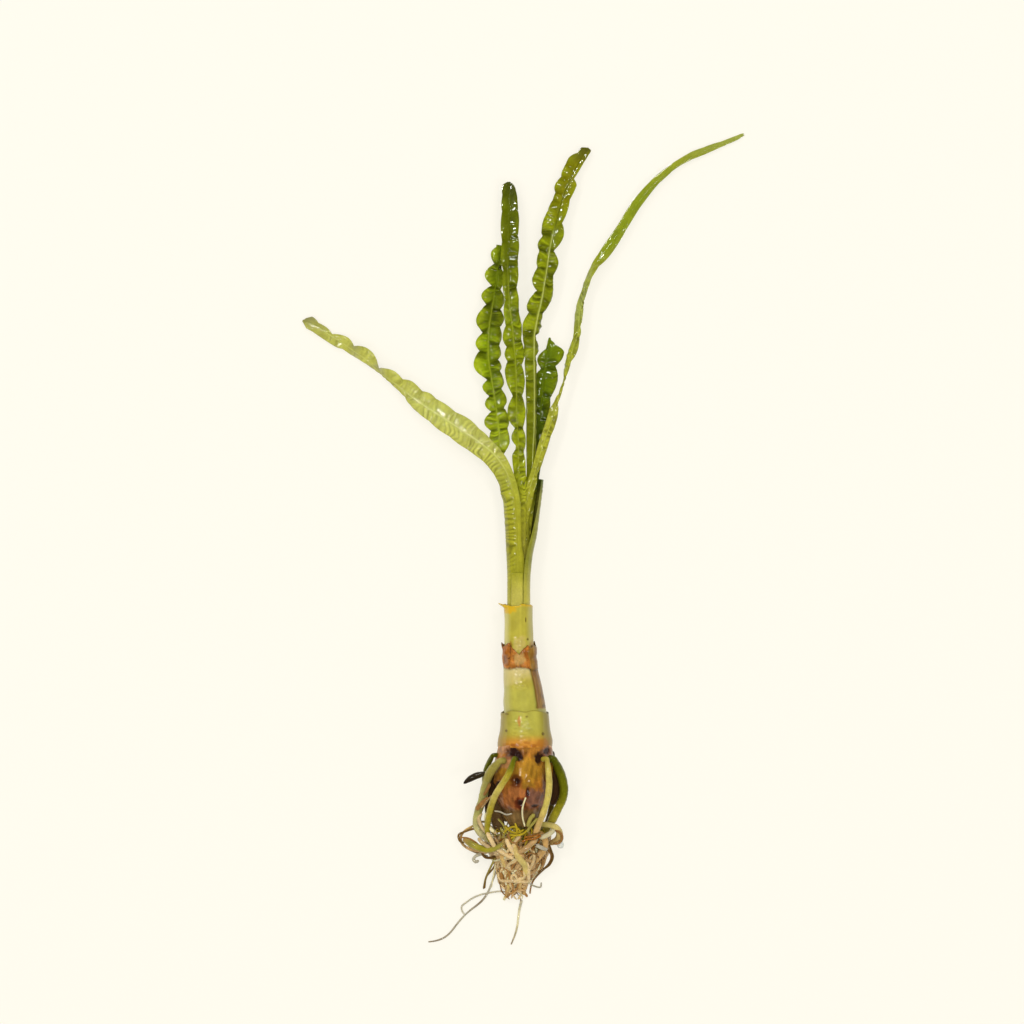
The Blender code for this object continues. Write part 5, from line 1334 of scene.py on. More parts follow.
def sharpen(mesh, sharp):
    """Break the shading at the edges between sharp points."""
    ends = np.empty(len(mesh.edges) * 2, dtype=np.int32)
    mesh.edges.foreach_get("vertices", ends)
    marks = np.asarray(sharp).ravel()[ends.reshape(-1, 2)].all(axis=1)
    mesh.attributes.new("sharp_edge", "BOOLEAN", "EDGE").data.foreach_set("value", marks)


def add_piece(name, points, faces, material, fields, replaced=(), sharp=None):
    """Make a piece from points in millimetres. Fields are numbers for each point that colour it."""
    points = points.reshape(-1, 3) * MM
    points[:, 2] = np.maximum(points[:, 2], 0.0)
    mesh = bpy.data.meshes.new(name)
    mesh.from_pydata(points.tolist(), [], faces)
    for field, values in fields.items():
        layer = mesh.attributes.new(field, "FLOAT", "POINT")
        layer.data.foreach_set("value", np.asarray(values, dtype=np.float32).ravel())
    mesh.update()
    mesh.shade_smooth()
    if sharp is not None:
        sharpen(mesh, sharp)
    mesh.materials.append(material)
    piece = bpy.data.objects.new(name, mesh)
    bpy.context.scene.collection.objects.link(piece)
    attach(piece, "root")
    if replaced:
        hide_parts(*replaced)
    return piece


class Finish:
    """A material with helpers that add its nodes."""

    def __init__(self, name, roughness, coat=0.0, soft=0.0, bump=None, mottling=()):
        self.bump = bump
        self.mottling = mottling
        self.material = bpy.data.materials.new(name)
        self.material.use_nodes = True
        self.tree = self.material.node_tree
        self.shader = self.tree.nodes["Principled BSDF"]
        self.shader.inputs["Roughness"].default_value = roughness
        self.shader.inputs["Specular IOR Level"].default_value = BASE_GLOSS
        self.shader.inputs["Coat Weight"].default_value = coat
        self.shader.inputs["Coat Roughness"].default_value = COAT_ROUGHNESS
        self.shader.inputs["Subsurface Weight"].default_value = soft
        self.shader.inputs["Subsurface Scale"].default_value = SOFT_DEPTH
        self.shader.inputs["Subsurface Radius"].default_value = SOFT_RADIUS

    def node(self, kind, **inputs):
        """Add a node, and set or link its named inputs."""
        node = self.tree.nodes.new(kind)
        for name, value in inputs.items():
            self.connect(value, node.inputs[name.replace("_", " ")])
        return node

    def connect(self, value, socket):
        """Link an output to a socket, or set the socket to a value."""
        if isinstance(value, bpy.types.NodeSocket):
            self.tree.links.new(value, socket)
        else:
            socket.default_value = value

    def field(self, name):
        """A field of the mesh."""
        node = self.tree.nodes.new("ShaderNodeAttribute")
        node.attribute_name = name
        return node.outputs["Fac"]

    def place(self):
        """The point in the plant's frame, in metres."""
        return self.tree.nodes.new("ShaderNodeTexCoord").outputs["Object"]

    def noise(self, size, detail=2.0, stretch=1.0):
        """Noise from 0 to 1 with blobs of a size in millimetres. Below 1 the stretch makes them longer."""
        mapping = self.node("ShaderNodeMapping", Vector=self.place())
        mapping.inputs["Scale"].default_value = (1.0, stretch, 1.0)
        return self.node("ShaderNodeTexNoise", Vector=mapping.outputs["Vector"],
                         Scale=1.0 / (size * MM), Detail=detail).outputs["Fac"]

    def ramp(self, value, stops):
        """Colours by a value from 0 to 1, given as shares and colour names."""
        node = self.node("ShaderNodeValToRGB", Fac=value)
        elements = node.color_ramp.elements
        while len(elements) < len(stops):
            elements.new(1.0)
        for element, (share, name) in zip(elements, stops):
            element.position = share
            element.color = screen_colour(name)
        return node.outputs["Color"]

    def range(self, value, low, high, to_low=0.0, to_high=1.0):
        """Map a value's range to another one, and stop at its ends."""
        node = self.node("ShaderNodeMapRange", Value=value)
        numbers = {"From Min": low, "From Max": high, "To Min": to_low, "To Max": to_high}
        for name, number in numbers.items():
            node.inputs[name].default_value = number
        return node.outputs["Result"]

    def mix(self, share, first, second):
        """Mix two colours by a share."""
        node = self.tree.nodes.new("ShaderNodeMix")
        node.data_type = "RGBA"
        self.connect(share, node.inputs["Factor"])
        self.connect(first, node.inputs[FIRST_COLOUR])
        self.connect(second, node.inputs[SECOND_COLOUR])
        return node.outputs[MIXED_COLOUR]

    def blended(self, size, stretch, used, first, second):
        """Two named colours, mixed by a part of a noise."""
        share = self.range(self.noise(size, stretch=stretch), *used)
        return self.mix(share, screen_colour(first), screen_colour(second))

    def covered(self, colour, field, cover, share=1.0):
        """Mix a second colour over a first by a field of the mesh."""
        return self.mix(self.times(self.field(field), share), colour, cover)

    def shade(self, colour, brightness):
        """Make a colour lighter or darker."""
        return self.node("ShaderNodeHueSaturation", Color=colour, Value=brightness).outputs["Color"]

    def mottled(self, colour):
        """Make a colour lighter and darker in blotches."""
        for size, detail, stretch, used, shades in self.mottling:
            blotches = self.range(self.noise(size, detail, stretch), *used, *shades)
            colour = self.shade(colour, blotches)
        return colour

    def times(self, first, second):
        """Product of two values."""
        node = self.tree.nodes.new("ShaderNodeMath")
        node.operation = "MULTIPLY"
        self.connect(first, node.inputs[0])
        self.connect(second, node.inputs[1])
        return node.outputs["Value"]

    def finish(self, colour):
        """Give the shader its colour and its bumps, and return the material."""
        self.tree.links.new(colour, self.shader.inputs["Base Color"])
        size, depth, stretch = self.bump
        bumps = self.node("ShaderNodeBump", Height=self.noise(size, BUMP_DETAIL, stretch))
        bumps.inputs["Distance"].default_value = depth * MM
        self.tree.links.new(bumps.outputs["Normal"], self.shader.inputs["Normal"])
        return self.material


def stops_along(stops):
    """Colour stops at places along Y as shares of the plant's length."""
    return [(along_share(y), name) for y, name in stops]


def along_share(y):
    """Places along Y as shares of the plant's length."""
    return (y - PLANT_LOW) / (PLANT_HIGH - PLANT_LOW)


def leaf_finish(name, look):
    """Wet leaf: colours along it, painted light on the lobes, painted shade in the valleys, painted light
    and shade of the pleats and halves, fine mottling and a pale rib.
    """
    leaf = Finish(name + "_finish", **SKINS["leaf"])
    along = leaf.field("along")
    colour = leaf.ramp(along, stops_along(look["stops"]))
    # Painted light on the lobes and painted shade in the valleys.
    colour = leaf.covered(colour, "lobe", screen_colour(look["lobe"]), look["lobe_share"])
    colour = leaf.covered(colour, "deep", screen_colour(look["deep"]), VALLEY_SHADE_SHARE)
    colour = leaf.mottled(leaf.shade(colour, leaf.field("light")))
    rib = leaf.ramp(along, stops_along(look["rib"]))
    return leaf.finish(leaf.covered(colour, "rib", rib, look["rib_share"]))


def edge_places(edge, side, frame, places):
    """Where along a leaf each point of its margin lies, and how far it is from the midrib."""
    origin, right, _ = frame
    outward = side * unit(right[:, :2])
    found = {}
    for point in edge:
        away = np.array(point) - origin[:, :2]
        nearest = np.argmin(np.linalg.norm(away, axis=1))
        found[places[nearest]] = max(np.dot(away[nearest], outward[nearest]), SMALLEST_HALF)
    at = np.array(sorted(found))
    return at, np.array([found[place] for place in at])


def scalloped(places, at, reach):
    """Distance from the midrib to the margin: round lobes that end in narrow notches."""
    index = np.clip(np.searchsorted(at, places) - 1, 0, len(at) - 2)
    start, end = reach[index], reach[index + 1]
    share = np.clip((places - at[index]) / (at[index + 1] - at[index]), 0.0, 1.0)
    from_lobe = np.where(start >= end, share, 1 - share)
    return np.maximum(start, end) - np.abs(start - end) * from_lobe**LOBE_ROUNDNESS


def notch_places(at, reach):
    """The margin's points that lie further in than the run between their neighbours."""
    share = (at[1:-1] - at[:-2]) / (at[2:] - at[:-2])
    between = reach[:-2] + share * (reach[2:] - reach[:-2])
    return at[1:-1][reach[1:-1] < between]


def wave_phase(notches, places):
    """Phase of a half's ruffle: a whole number at each notch, and even waves beyond the last ones."""
    phase = np.interp(places, notches, np.arange(len(notches)))
    phase = np.where(places < notches[0], (places - notches[0]) / WAVE_LENGTH, phase)
    beyond = len(notches) - 1 + (places - notches[-1]) / WAVE_LENGTH
    return np.where(places > notches[-1], beyond, phase)


def ruffle_wave(phase):
    """Round lobes at -1 with narrow notches at +1, one of each in a wave."""
    lobe = (np.sin(np.pi * phase) ** 2 + WAVE_FLOOR) ** WAVE_POWER
    return (WAVE_MIDDLE - lobe) / WAVE_HALF_RANGE


def running_mean(values):
    """Add up the middles between neighbours along each row, as shares of the whole row."""
    middles = (values[:, 1:] + values[:, :-1]) / 2
    start = np.zeros((len(values), 1))
    return np.concatenate([start, np.cumsum(middles, axis=1)], axis=1) / middles.shape[1]


def fitted_width(width, seen, places, at, reach):
    """Widths of a half that bring its margin, as seen from above, to its lobes and notches."""
    fitted = scalloped(places, at, reach) / np.maximum(seen, LEAST_SEEN)
    fitted = np.clip(fitted, width * NARROWEST, width * WIDEST)
    return width + smooth_step(at[0] - EDGE_BLEND, at[0], places) * (fitted - width)


def leaf_half(rows, frame, side, wave, places, edge):
    """Points and normals of one half of a leaf, for each place along it and each share across."""
    origin, right, up = frame
    half = int(side > 0)
    width, rise, cup = rows[:, WIDTHS[half]], rows[:, RISES[half], None], rows[:, CUP, None]
    ruffle = (rows[:, RUFFLE] * RUFFLE_GAIN * wave)[:, None]
    fine = np.linspace(0.0, 1.0, LEAF_ACROSS * SAMPLES_PER_COLUMN + 1)
    angle = rise * (1 - cup + 2 * cup * fine) + ruffle * fine**RUFFLE_SPREAD
    outward, upward = running_mean(np.cos(angle)), running_mean(np.sin(angle))
    if edge is not None:
        flat = unit(right[:, :2])
        seen = (np.sum(right[:, :2] * flat, axis=1) * outward[:, -1]
                + side * np.sum(up[:, :2] * flat, axis=1) * upward[:, -1])
        width = fitted_width(width, seen, places, *edge)
    outward, upward = [share[:, ::SAMPLES_PER_COLUMN] * width[:, None] for share in (outward, upward)]
    angle = angle[:, ::SAMPLES_PER_COLUMN]
    right, up = right[:, None], up[:, None]
    points = origin[:, None] + right * (side * outward)[..., None] + up * upward[..., None]
    normals = up * np.cos(angle)[..., None] - right * (side * np.sin(angle))[..., None]
    return points, normals


def leaf_frame(stations, places):
    """Midrib points with the directions to the leaf's right and up, turned about the midrib."""
    rows = smooth_rows(stations, places)
    angles = [*RISES, TURN, RUFFLE]
    rows[:, angles] = np.radians(rows[:, angles])
    rows[:, WIDTHS] = np.maximum(rows[:, WIDTHS], SMALLEST_HALF)
    tangent = unit(np.gradient(rows[:, :3], places, axis=0))
    up = unit(np.array([0.0, 0.0, 1.0]) - tangent * tangent[:, 2:3])
    right = np.cross(tangent, up)
    turn = rows[:, TURN, None]
    turned_right = right * np.cos(turn) + up * np.sin(turn)
    turned_up = up * np.cos(turn) - right * np.sin(turn)
    return rows, (rows[:, :3], turned_right, turned_up)


def leaf_relief(places, across, phase, ladder, pleats, seed):
    """Height over one half of a leaf, with the painted shade of its valleys and the painted light and shade
    of each point.
    """
    s, t = places[:, None], across[None, :]
    reach = smooth_step(*RIB_SIDE, t)
    inside = reach * (1 - MARGIN_FLATTENING * smooth_step(MARGIN_START, 1.0, t))
    sway = lattice_noise(s / SWAY_LENGTH, t * SWAY_ACROSS, SWAY_LAYER, seed)
    fan = FAN_SHIFT * np.sin(2 * np.pi * phase)[:, None] * t**2
    swayed = s + SWAY_SHIFT * sway + fan
    pillow = np.abs(np.sin(np.pi * (phase[:, None] + PILLOW_SWAY * sway))) ** PILLOW_POWER
    wrinkle = lattice_noise(swayed / PLEAT_LENGTH, t * PLEAT_ACROSS, PLEAT_LAYER, seed)
    pleat = np.maximum(1 + CREST_ROUNDNESS - np.hypot(wrinkle, CREST_ROUNDNESS), 0.0) ** PLEAT_POWER
    pleat = pleat - PLEAT_MEAN
    rung = np.abs(np.sin(np.pi * (s + LADDER_SHIFT * sway + fan) / LADDER_LENGTH)) ** LADDER_POWER
    uneven = lattice_noise(s / (3 * LADDER_LENGTH), t * SWAY_ACROSS, LADDER_LAYER, seed)
    rung = (rung - LADDER_MEAN) * np.clip(LADDER_STRENGTH + LADDER_UNEVEN * uneven, 0.0, STRONGEST_RUNG)
    streak = np.abs(np.sin(np.pi * (swayed + fan) / STREAK_LENGTH))
    shown = np.clip(pleats, 0.0, 1.0)
    height = pleats * inside * (PILLOW_HEIGHT * pillow + PLEAT_HEIGHT * pleat)
    height = height + ladder * inside * rung + STREAK_HEIGHT * shown * streak
    # Painted shade in the valleys between the pillows and in those of the pleats.
    valley = PLEAT_VALLEY_SHADE * shown * inside * smooth_step(*VALLEY_EDGE, np.abs(wrinkle))
    deep = np.maximum(shown * reach * (1 - pillow) ** VALLEY_SHADE_POWER, valley)
    # Painted light and shade: lighter pleat crests, light and shade by the slope along the leaf, and
    # lighter and darker rungs.
    slope = np.clip(np.gradient(height, places, axis=0), -1.0, 1.0)
    light = 1 + PLEAT_LIGHT * shown * inside * pleat - SLOPE_LIGHT * slope
    light = light + LADDER_LIGHT * reach * np.clip(ladder / FULL_LADDER, 0.0, 1.0) * rung
    light = light - STREAK_DARK * shown * t * (1 - streak)
    return height, np.clip(deep, 0.0, 1.0), light


def half_number(look, half, kind, y):
    """A number of a look along Y: a half's own, the one for both halves, or the plain one."""
    stops = look.get(f"{half}_{kind}") or look.get(kind) or PLAIN_HALF[kind]
    return np.interp(y, *zip(*stops))[:, None]


def leaf_surface(look, half, side, rows, frame, places, across):
    """One half of a leaf: points, normals, relief and the numbers that colour it."""
    edge = None
    notches = np.arange(0.0, places[-1], WAVE_LENGTH)
    if half + "_edge" in look:
        edge = edge_places(look[half + "_edge"], side, frame, places)
        notches = notch_places(*edge)
    phase = wave_phase(notches, places)
    wave = ruffle_wave(phase)
    points, normals = leaf_half(rows, frame, side, wave, places, edge)
    # The painted light of each half scales its brightness, and its painted shade darkens the inside of a
    # fold.
    ladder, pleats, tint, shade = [half_number(look, half, kind, rows[:, 1])
                                   for kind in ("ladder", "pleats", "tint", "shade")]
    height, deep, light = leaf_relief(places, across, phase, ladder, pleats, look["seed"] * 2 + side)
    ruffled = np.clip(rows[:, RUFFLE] / np.radians(FULL_RUFFLE), 0.0, 1.0)
    lobe = (np.clip((1 - wave) / 2, 0.0, 1.0) * ruffled)[:, None] * smooth_step(*LOBE_REACH, across)
    unshaded = 1 - shade * (1 - smooth_step(*SHADE_REACH, across))
    return points, normals, height, deep, light * tint, lobe, unshaded


def add_leaf(name):
    """A leaf as a thin closed sheet with pleats across it, a ruffled margin and a raised midrib."""
    stations, look = LEAVES[name], LEAF_LOOKS[name]
    length = row_length(stations)
    places = np.linspace(0.0, length - END_GAP, int(length / LEAF_STEP))
    across = np.linspace(0.0, 1.0, LEAF_ACROSS + 1)
    rows, frame = leaf_frame(stations, places)
    halves = [leaf_surface(look, half, side, rows, frame, places, across)
              for half, side in (("left", -1), ("right", 1))]
    joined = [np.concatenate([left[:, ::-1], right[:, 1:]], axis=1) for left, right in zip(*halves)]
    middle, normals, height, deep, light, lobe, unshaded = joined
    share = np.concatenate([-across[::-1], across[1:]])
    rib = np.exp(-(share / RIB_SPREAD) ** 2) * smooth_step(0.0, RIB_TAPER, length - places)[:, None]
    height = height + RIB_HEIGHT * look["rib_share"] * rib
    half_thick = LEAF_THICKNESS / 2 * (1 - EDGE_THINNING * share**2)
    upper, edge, lower = [middle + normals * (height + lift)[..., None]
                          for lift in (half_thick, 0.0, -half_thick)]
    rings = np.concatenate([edge[:, :1], upper[:, 1:-1], edge[:, -1:], lower[:, -2:0:-1]], axis=1)
    columns = np.concatenate([np.arange(len(share)), np.arange(len(share) - 2, 0, -1)])
    fields = {"along": along_share(middle[..., 1]), "deep": deep, "light": light, "lobe": lobe, "rib": rib}
    fields = {field: values[:, columns] for field, values in fields.items()}
    # The painted shade inside a fold is on the upper face only.
    fields["light"][:, :len(share)] *= unshaded
    faces = ring_faces(*rings.shape[:2], closed=True)
    at_margin = np.broadcast_to(np.isin(columns, (0, len(share) - 1)), rings.shape[:2])
    add_piece(name + "_blade", rings, faces, leaf_finish(name, look), fields, (name,), at_margin)


def axis_at(y):
    """Centre of the bulb and the false stem at places along Y."""
    return np.stack([np.interp(y, AXIS_Y, AXIS_X), np.asarray(y, dtype=float),
                     np.interp(y, AXIS_Y, AXIS_Z)], axis=-1)


def around_axis(y, radius, angles):
    """Rings of points around the axis."""
    centre = axis_at(y)
    offset = np.stack([np.cos(angles), np.zeros_like(angles), np.sin(angles)], axis=-1)
    return centre + offset * radius[..., None]


def on_front(points):
    """1 on the side of the bulb and the false stem that faces the camera, and 0 on the other side."""
    return smooth_step(*FRONT_EDGE, points[..., 2] - axis_at(points[..., 1])[..., 2])


def from_middle(points, oval):
    """Distance from an oval's middle, seen from above, where its outline is at 1."""
    middle_x, middle_y, half_width, half_height = oval[:4]
    return np.sqrt(((points[..., 0] - middle_x) / half_width) ** 2
                   + ((points[..., 1] - middle_y) / half_height) ** 2)


def patch_fields(points, patches, seed):
    """For each patch a field that is 1 inside it, on the front only, with an uneven edge."""
    fields = {}
    front = on_front(points)
    for number, patch in enumerate(patches):
        uneven = PATCH_UNEVEN * blobs(points, PATCH_GRAIN, seed + number)
        shown = 1 - smooth_step(*PATCH_EDGE, from_middle(points, patch) + uneven)
        fields[f"patch_{number}"] = front * shown
    return fields


def add_patches(finish, colour, patches):
    """Mix the patches' colours into a colour."""
    for number, (_, _, _, _, name, share) in enumerate(patches):
        shown = finish.times(finish.field(f"patch_{number}"), share)
        colour = finish.mix(shown, colour, screen_colour(name))
    return colour


def rim_drop(angles, waves, notches):
    """How far a rim drops around the false stem: waves, and notches with straight sides."""
    drop = np.zeros_like(angles)
    for depth, count, start in waves:
        drop += depth * np.cos(count * angles - np.radians(start))
    for depth, middle, half_width in notches:
        away = np.angle(np.exp(1j * (angles - np.radians(middle))))
        drop += depth * np.clip(1 - np.abs(away) / np.radians(half_width), 0.0, 1.0)
    return drop


def circle_noise(angles, y, grain, seed):
    """Noise around the stem, by the number, the length and the seed of its blobs."""
    count, length, own_seed = grain
    turn = count / (2 * np.pi)
    return lattice_noise(np.cos(angles) * turn, np.sin(angles) * turn, y / length, seed + own_seed)


def sheath_finish(name, look):
    """Wet leaf base: fine lines along it, painted light and shade on its flanks and front, a coloured rim,
    torn brown skin where there is some.
    """
    sheath = Finish(name + "_finish", **SKINS["sheath"])
    colour = sheath.ramp(sheath.field("along"), stops_along(look["stops"]))
    colour = sheath.shade(colour, sheath.range(sheath.field("vein"), -1.0, 1.0, *VEIN_LIGHT))
    colour = sheath.mottled(colour)
    # The flank colour is painted light and shade where the sleeve turns away.
    colour = sheath.covered(colour, "flank", screen_colour(look["flank"]), FLANK_SHARE)
    dark_spots = sheath.range(sheath.noise(DARK_SPOT_SIZE), *DARK_SPOTS)
    skin = sheath.mix(dark_spots, sheath.blended(*TORN_SKIN), screen_colour("skin_dark"))
    colour = sheath.covered(colour, "skin", skin)
    colour = sheath.covered(colour, "strip", sheath.blended(*PAPER_STRIP))
    colour = sheath.shade(colour, sheath.field("light"))
    colour = add_patches(sheath, colour, look["patches"])
    return sheath.finish(sheath.covered(colour, "rim", screen_colour(look["rim"]), RIM_SHARE))


def degrees_from(turns, middle):
    """How many degrees each angle around the false stem is away from a middle."""
    return np.abs(np.angle(np.exp(1j * (turns - np.radians(middle))), deg=True))


def torn_skin(turns, y, seed):
    """Where the torn brown skin and the papery strip lie on a sleeve, and where their rims are."""
    above = y - SKIN_LOW - SKIN_RAGGED * circle_noise(turns, y, SKIN_RAGS, seed)
    beside = degrees_from(turns, STRIP_MIDDLE) - STRIP_HALF
    beside = beside - STRIP_RAGGED * circle_noise(turns, y, STRIP_RAGS, seed)
    skin = smooth_step(-SKIN_BLUR, SKIN_BLUR, above)
    strip = 1 - smooth_step(-STRIP_BLUR, STRIP_BLUR, beside)
    strip = strip * smooth_step(-STRIP_END, STRIP_END, y - STRIP_LOW)
    strip_rim = np.exp(-(beside / STRIP_RIM) ** 2) * (y > STRIP_LOW) * (y < SKIN_LOW)
    return skin, strip, np.exp(-(above / SKIN_RIM) ** 2) + strip_rim


def crinkle_zone(turns, y, low, high):
    """1 where the front of a sleeve is crinkled, between two places along Y."""
    along = smooth_step(low - CRINKLE_FADE, low, y) * (1 - smooth_step(high, high + CRINKLE_FADE, y))
    return along * (1 - smooth_step(*CRINKLE_SPREAD, degrees_from(turns, CRINKLE_ANGLE)))


def add_sleeve(name):
    """A leaf base around the false stem, with lines along it and an uneven, torn rim."""
    rows, waves, notches, jag = SLEEVES[name]
    look = SHEATH_LOOKS[name]
    seed = len(name)
    along, outside, inside = np.array(rows).T
    angles = np.linspace(0.0, 2 * np.pi, SLEEVE_AROUND, endpoint=False)
    top = along[-1] - rim_drop(angles, waves, notches) + jag * circle_noise(angles, 0.0, JAGS, seed)
    shares = np.linspace(0.0, 1.0, int((along[-1] - along[0]) / SLEEVE_STEP))[:, None]
    y = along[0] + shares * (top - along[0])
    turns = np.broadcast_to(angles, y.shape)
    torn = name == TORN_SLEEVE
    skin, strip, torn_rims = [torn * values for values in torn_skin(turns, y, seed)]
    vein = circle_noise(turns, y, VEINS, seed)
    tears = skin * circle_noise(turns, y, TEARS, seed)
    crinkles = crinkle_zone(turns, y, *look["crinkles"]) * circle_noise(turns, y, CRINKLES, seed)
    relief = (VEIN_HEIGHT * vein + SLEEVE_LUMP_HEIGHT * circle_noise(turns, y, LUMPS, seed)
              + RIDGE_HEIGHT * circle_noise(turns, y, RIDGES, seed)
              + STRIP_HEIGHT * strip + TEAR_HEIGHT * tears + CRINKLE_HEIGHT * crinkles)
    # Painted shade on the right side, darker torn rims, and painted light on tears and crinkles.
    light = (1 - RIGHT_SHADE * smooth_step(*RIGHT_SIDE, np.cos(turns)) - TORN_RIM_SHADE * torn_rims
             + TEAR_LIGHT * tears + CRINKLE_LIGHT * crinkles)
    below_rim = top - y
    thick = np.interp(y, along, outside) - np.interp(y, along, inside)
    thick = np.minimum(thick, RIM_THICKNESS + RIM_GROWTH * below_rim)
    flare = FLARE[name] * (1 - smooth_step(0.0, FLARE_SPREAD, degrees_from(turns, FLARE_ANGLE)))
    radius = np.interp(y, along, outside) + relief + flare * (1 - smooth_step(0.0, FLARE_DEPTH, below_rim))
    points = np.concatenate([around_axis(y, radius, turns), around_axis(y, radius - thick, turns)[::-1]])
    fields = {
        "along": along_share(y), "vein": vein, "rim": 1 - smooth_step(0.0, look["rim_depth"], below_rim),
        "skin": skin, "strip": strip, "light": light,
        "flank": smooth_step(*FLANKS, np.abs(np.cos(turns))),
    }
    fields = {field: np.concatenate([values, values[::-1]]) for field, values in fields.items()}
    fields.update(patch_fields(points, look["patches"], seed))
    count = len(points) * SLEEVE_AROUND
    faces = [[corner % count for corner in face]
             for face in ring_faces(len(points) + 1, SLEEVE_AROUND, closed=False)]
    add_piece(name + "_skin", points, faces, sheath_finish(name, look), fields, (name,))


def bulb_finish():
    """Damp bulb skin: zones from the sheaths down to the basal plate, patches with painted shade on its
    sides, painted shade in its hollows, and dark root scars.
    """
    bulb = Finish("bulb_finish", **SKINS["bulb"])
    colour = bulb.ramp(bulb.field("along"), stops_along(BULB_STOPS))
    colour = bulb.mottled(add_patches(bulb, colour, BULB_PATCHES))
    colour = bulb.shade(colour, bulb.range(bulb.field("hollow_shade"), 0.0, 1.0, *HOLLOW_LIGHT))
    return bulb.finish(bulb.covered(colour, "scar", screen_colour("scar_dark")))


def add_bulb():
    """The bulb with lumps, wrinkles and root scars, flat where it rests."""
    y = np.arange(BULB_Y[0], BULB_Y[-1], BULB_STEP)[:, None]
    angles = np.linspace(0.0, 2 * np.pi, BULB_AROUND, endpoint=False)
    turns = np.broadcast_to(angles, (len(y), BULB_AROUND))
    heights = np.broadcast_to(y, turns.shape)
    plain = sum(np.interp(y + shift, BULB_Y, BULB_RADIUS) for shift in BULB_BLUR) / len(BULB_BLUR)
    radius = plain * (1 + BULB_LUMPS * np.sin(3 * turns) * np.cos(2 * turns))
    places = around_axis(heights, radius, turns)
    lumps = blobs(places, LUMP_SIZE, LUMP_SEED)
    wrinkles = blobs(places, (WRINKLE_SIZE, 2 * WRINKLE_SIZE, WRINKLE_SIZE), WRINKLE_SEED)
    shown = 1 - smooth_step(*SKIN_TOP, heights)
    radius = radius + shown * (LUMP_HEIGHT * (lumps - LUMP_SINK) + WRINKLE_HEIGHT * wrinkles)
    front = on_front(places)
    scar = np.zeros(turns.shape)
    for number, (*oval, dent) in enumerate(SCARS):
        away = from_middle(places, oval) + SCAR_UNEVEN * blobs(places, SCAR_GRAIN, SCAR_SEED + number)
        inside = front * (1 - smooth_step(*SCAR_EDGE, away))
        rim = front * np.exp(-((away - SCAR_RIM) / SCAR_RIM_WIDTH) ** 2)
        pits = inside * blobs(places, PIT_SIZE, PIT_SEED + number)
        radius = radius - dent * inside + SCAR_RIM_HEIGHT * rim + PIT_DEPTH * pits
        scar = np.maximum(scar, inside)
    points = around_axis(heights, radius, turns)
    # Painted shade in the hollows between the lumps and wrinkles.
    hollow_shade = np.clip(HOLLOW_START - HOLLOW_LUMPS * lumps - HOLLOW_WRINKLES * wrinkles, 0.0, 1.0) * shown
    fields = {"along": along_share(heights), "scar": scar, "hollow_shade": hollow_shade}
    fields.update(patch_fields(points, BULB_PATCHES, BULB_PATCH_SEED))
    faces = ring_faces(len(points), BULB_AROUND, closed=True)
    add_piece("bulb_skin", points, faces, bulb_finish(), fields, ("bulb",))


def clear_bulb(points, radii):
    """Push root points out of the bulb."""
    centre = axis_at(points[:, 1])
    away = points - centre
    distance = np.linalg.norm(away[:, [0, 2]], axis=1)
    bulb = np.interp(points[:, 1], BULB_Y, BULB_RADIUS, left=0.0) * (1 + BULB_LUMPS)
    wanted = np.where(points[:, 1] < BASAL_END_Y, 0.0, bulb + radii + ROOT_CLEARANCE)
    scale = np.where(distance < wanted, wanted / np.maximum(distance, NEAR_AXIS), 1.0)
    pushed = centre + away * scale[:, None]
    pushed[:, 1] = points[:, 1]
    return pushed


def spread_roots(paths):
    """Move the roots apart from one another, the bulb and the ground over a fixed number of rounds."""
    points = np.concatenate([path[:, :3] for path in paths])
    radii = np.concatenate([path[:, 3] for path in paths])
    owner = np.concatenate([np.full(len(path), number) for number, path in enumerate(paths)])
    ends = np.cumsum([len(path) for path in paths])
    runs = list(zip([0, *ends[:-1]], ends))
    other = owner[:, None] != owner[None, :]
    reach = radii[:, None] + radii[None, :] + ROOT_CLEARANCE
    for _ in range(SPREAD_ROUNDS):
        between = points[:, None, :] - points[None, :, :]
        distance = np.linalg.norm(between, axis=2)
        lack = np.where(other, np.maximum(reach - distance, 0.0), 0.0)
        push = between / np.maximum(distance, END_GAP)[:, :, None] * (lack * SPREAD_SHARE)[:, :, None]
        strongest = np.argmax(lack, axis=1)
        points = points + push[np.arange(len(points)), strongest]
        points = clear_bulb(points, radii)
        for start, end in runs:
            run = points[start:end]
            run[1:-1] = KEPT_SHARE * run[1:-1] + (1 - KEPT_SHARE) / 2 * (run[:-2] + run[2:])
        points[:, 2] = np.maximum(points[:, 2], radii)
    spread = np.concatenate([points, radii[:, None]], axis=1)
    return [spread[start:end] for start, end in runs]


def tube_points(path, sides, flatness=1.0):
    """Rings of points around a path with radii, rounded off at both ends."""
    points, radii = path[:, :3], path[:, 3].copy()
    tangent = unit(np.gradient(points, axis=0))
    steps = np.linalg.norm(np.diff(points, axis=0), axis=1)
    places = np.concatenate([[0.0], np.cumsum(steps)])
    from_end = np.minimum(places, places[-1] - places) + ROUND_OFF
    radii = radii * np.sqrt(np.clip(from_end / radii, 0.0, 1.0))
    across = np.cross(tangent[0], TUBE_UP)
    angles = np.linspace(0.0, 2 * np.pi, sides, endpoint=False)
    rings = []
    for centre, direction, radius in zip(points, tangent, radii):
        across = unit(across - direction * np.dot(across, direction))
        upward = np.cross(direction, across) * flatness
        around = np.cos(angles)[:, None] * across + np.sin(angles)[:, None] * upward
        rings.append(centre + radius * around)
    return np.stack(rings)


def root_finish(name, stops):
    """Damp root: colours along it, darker blotches and fine grain."""
    root = Finish(name + "_finish", **SKINS["root"])
    return root.finish(root.mottled(root.ramp(root.field("share"), stops)))


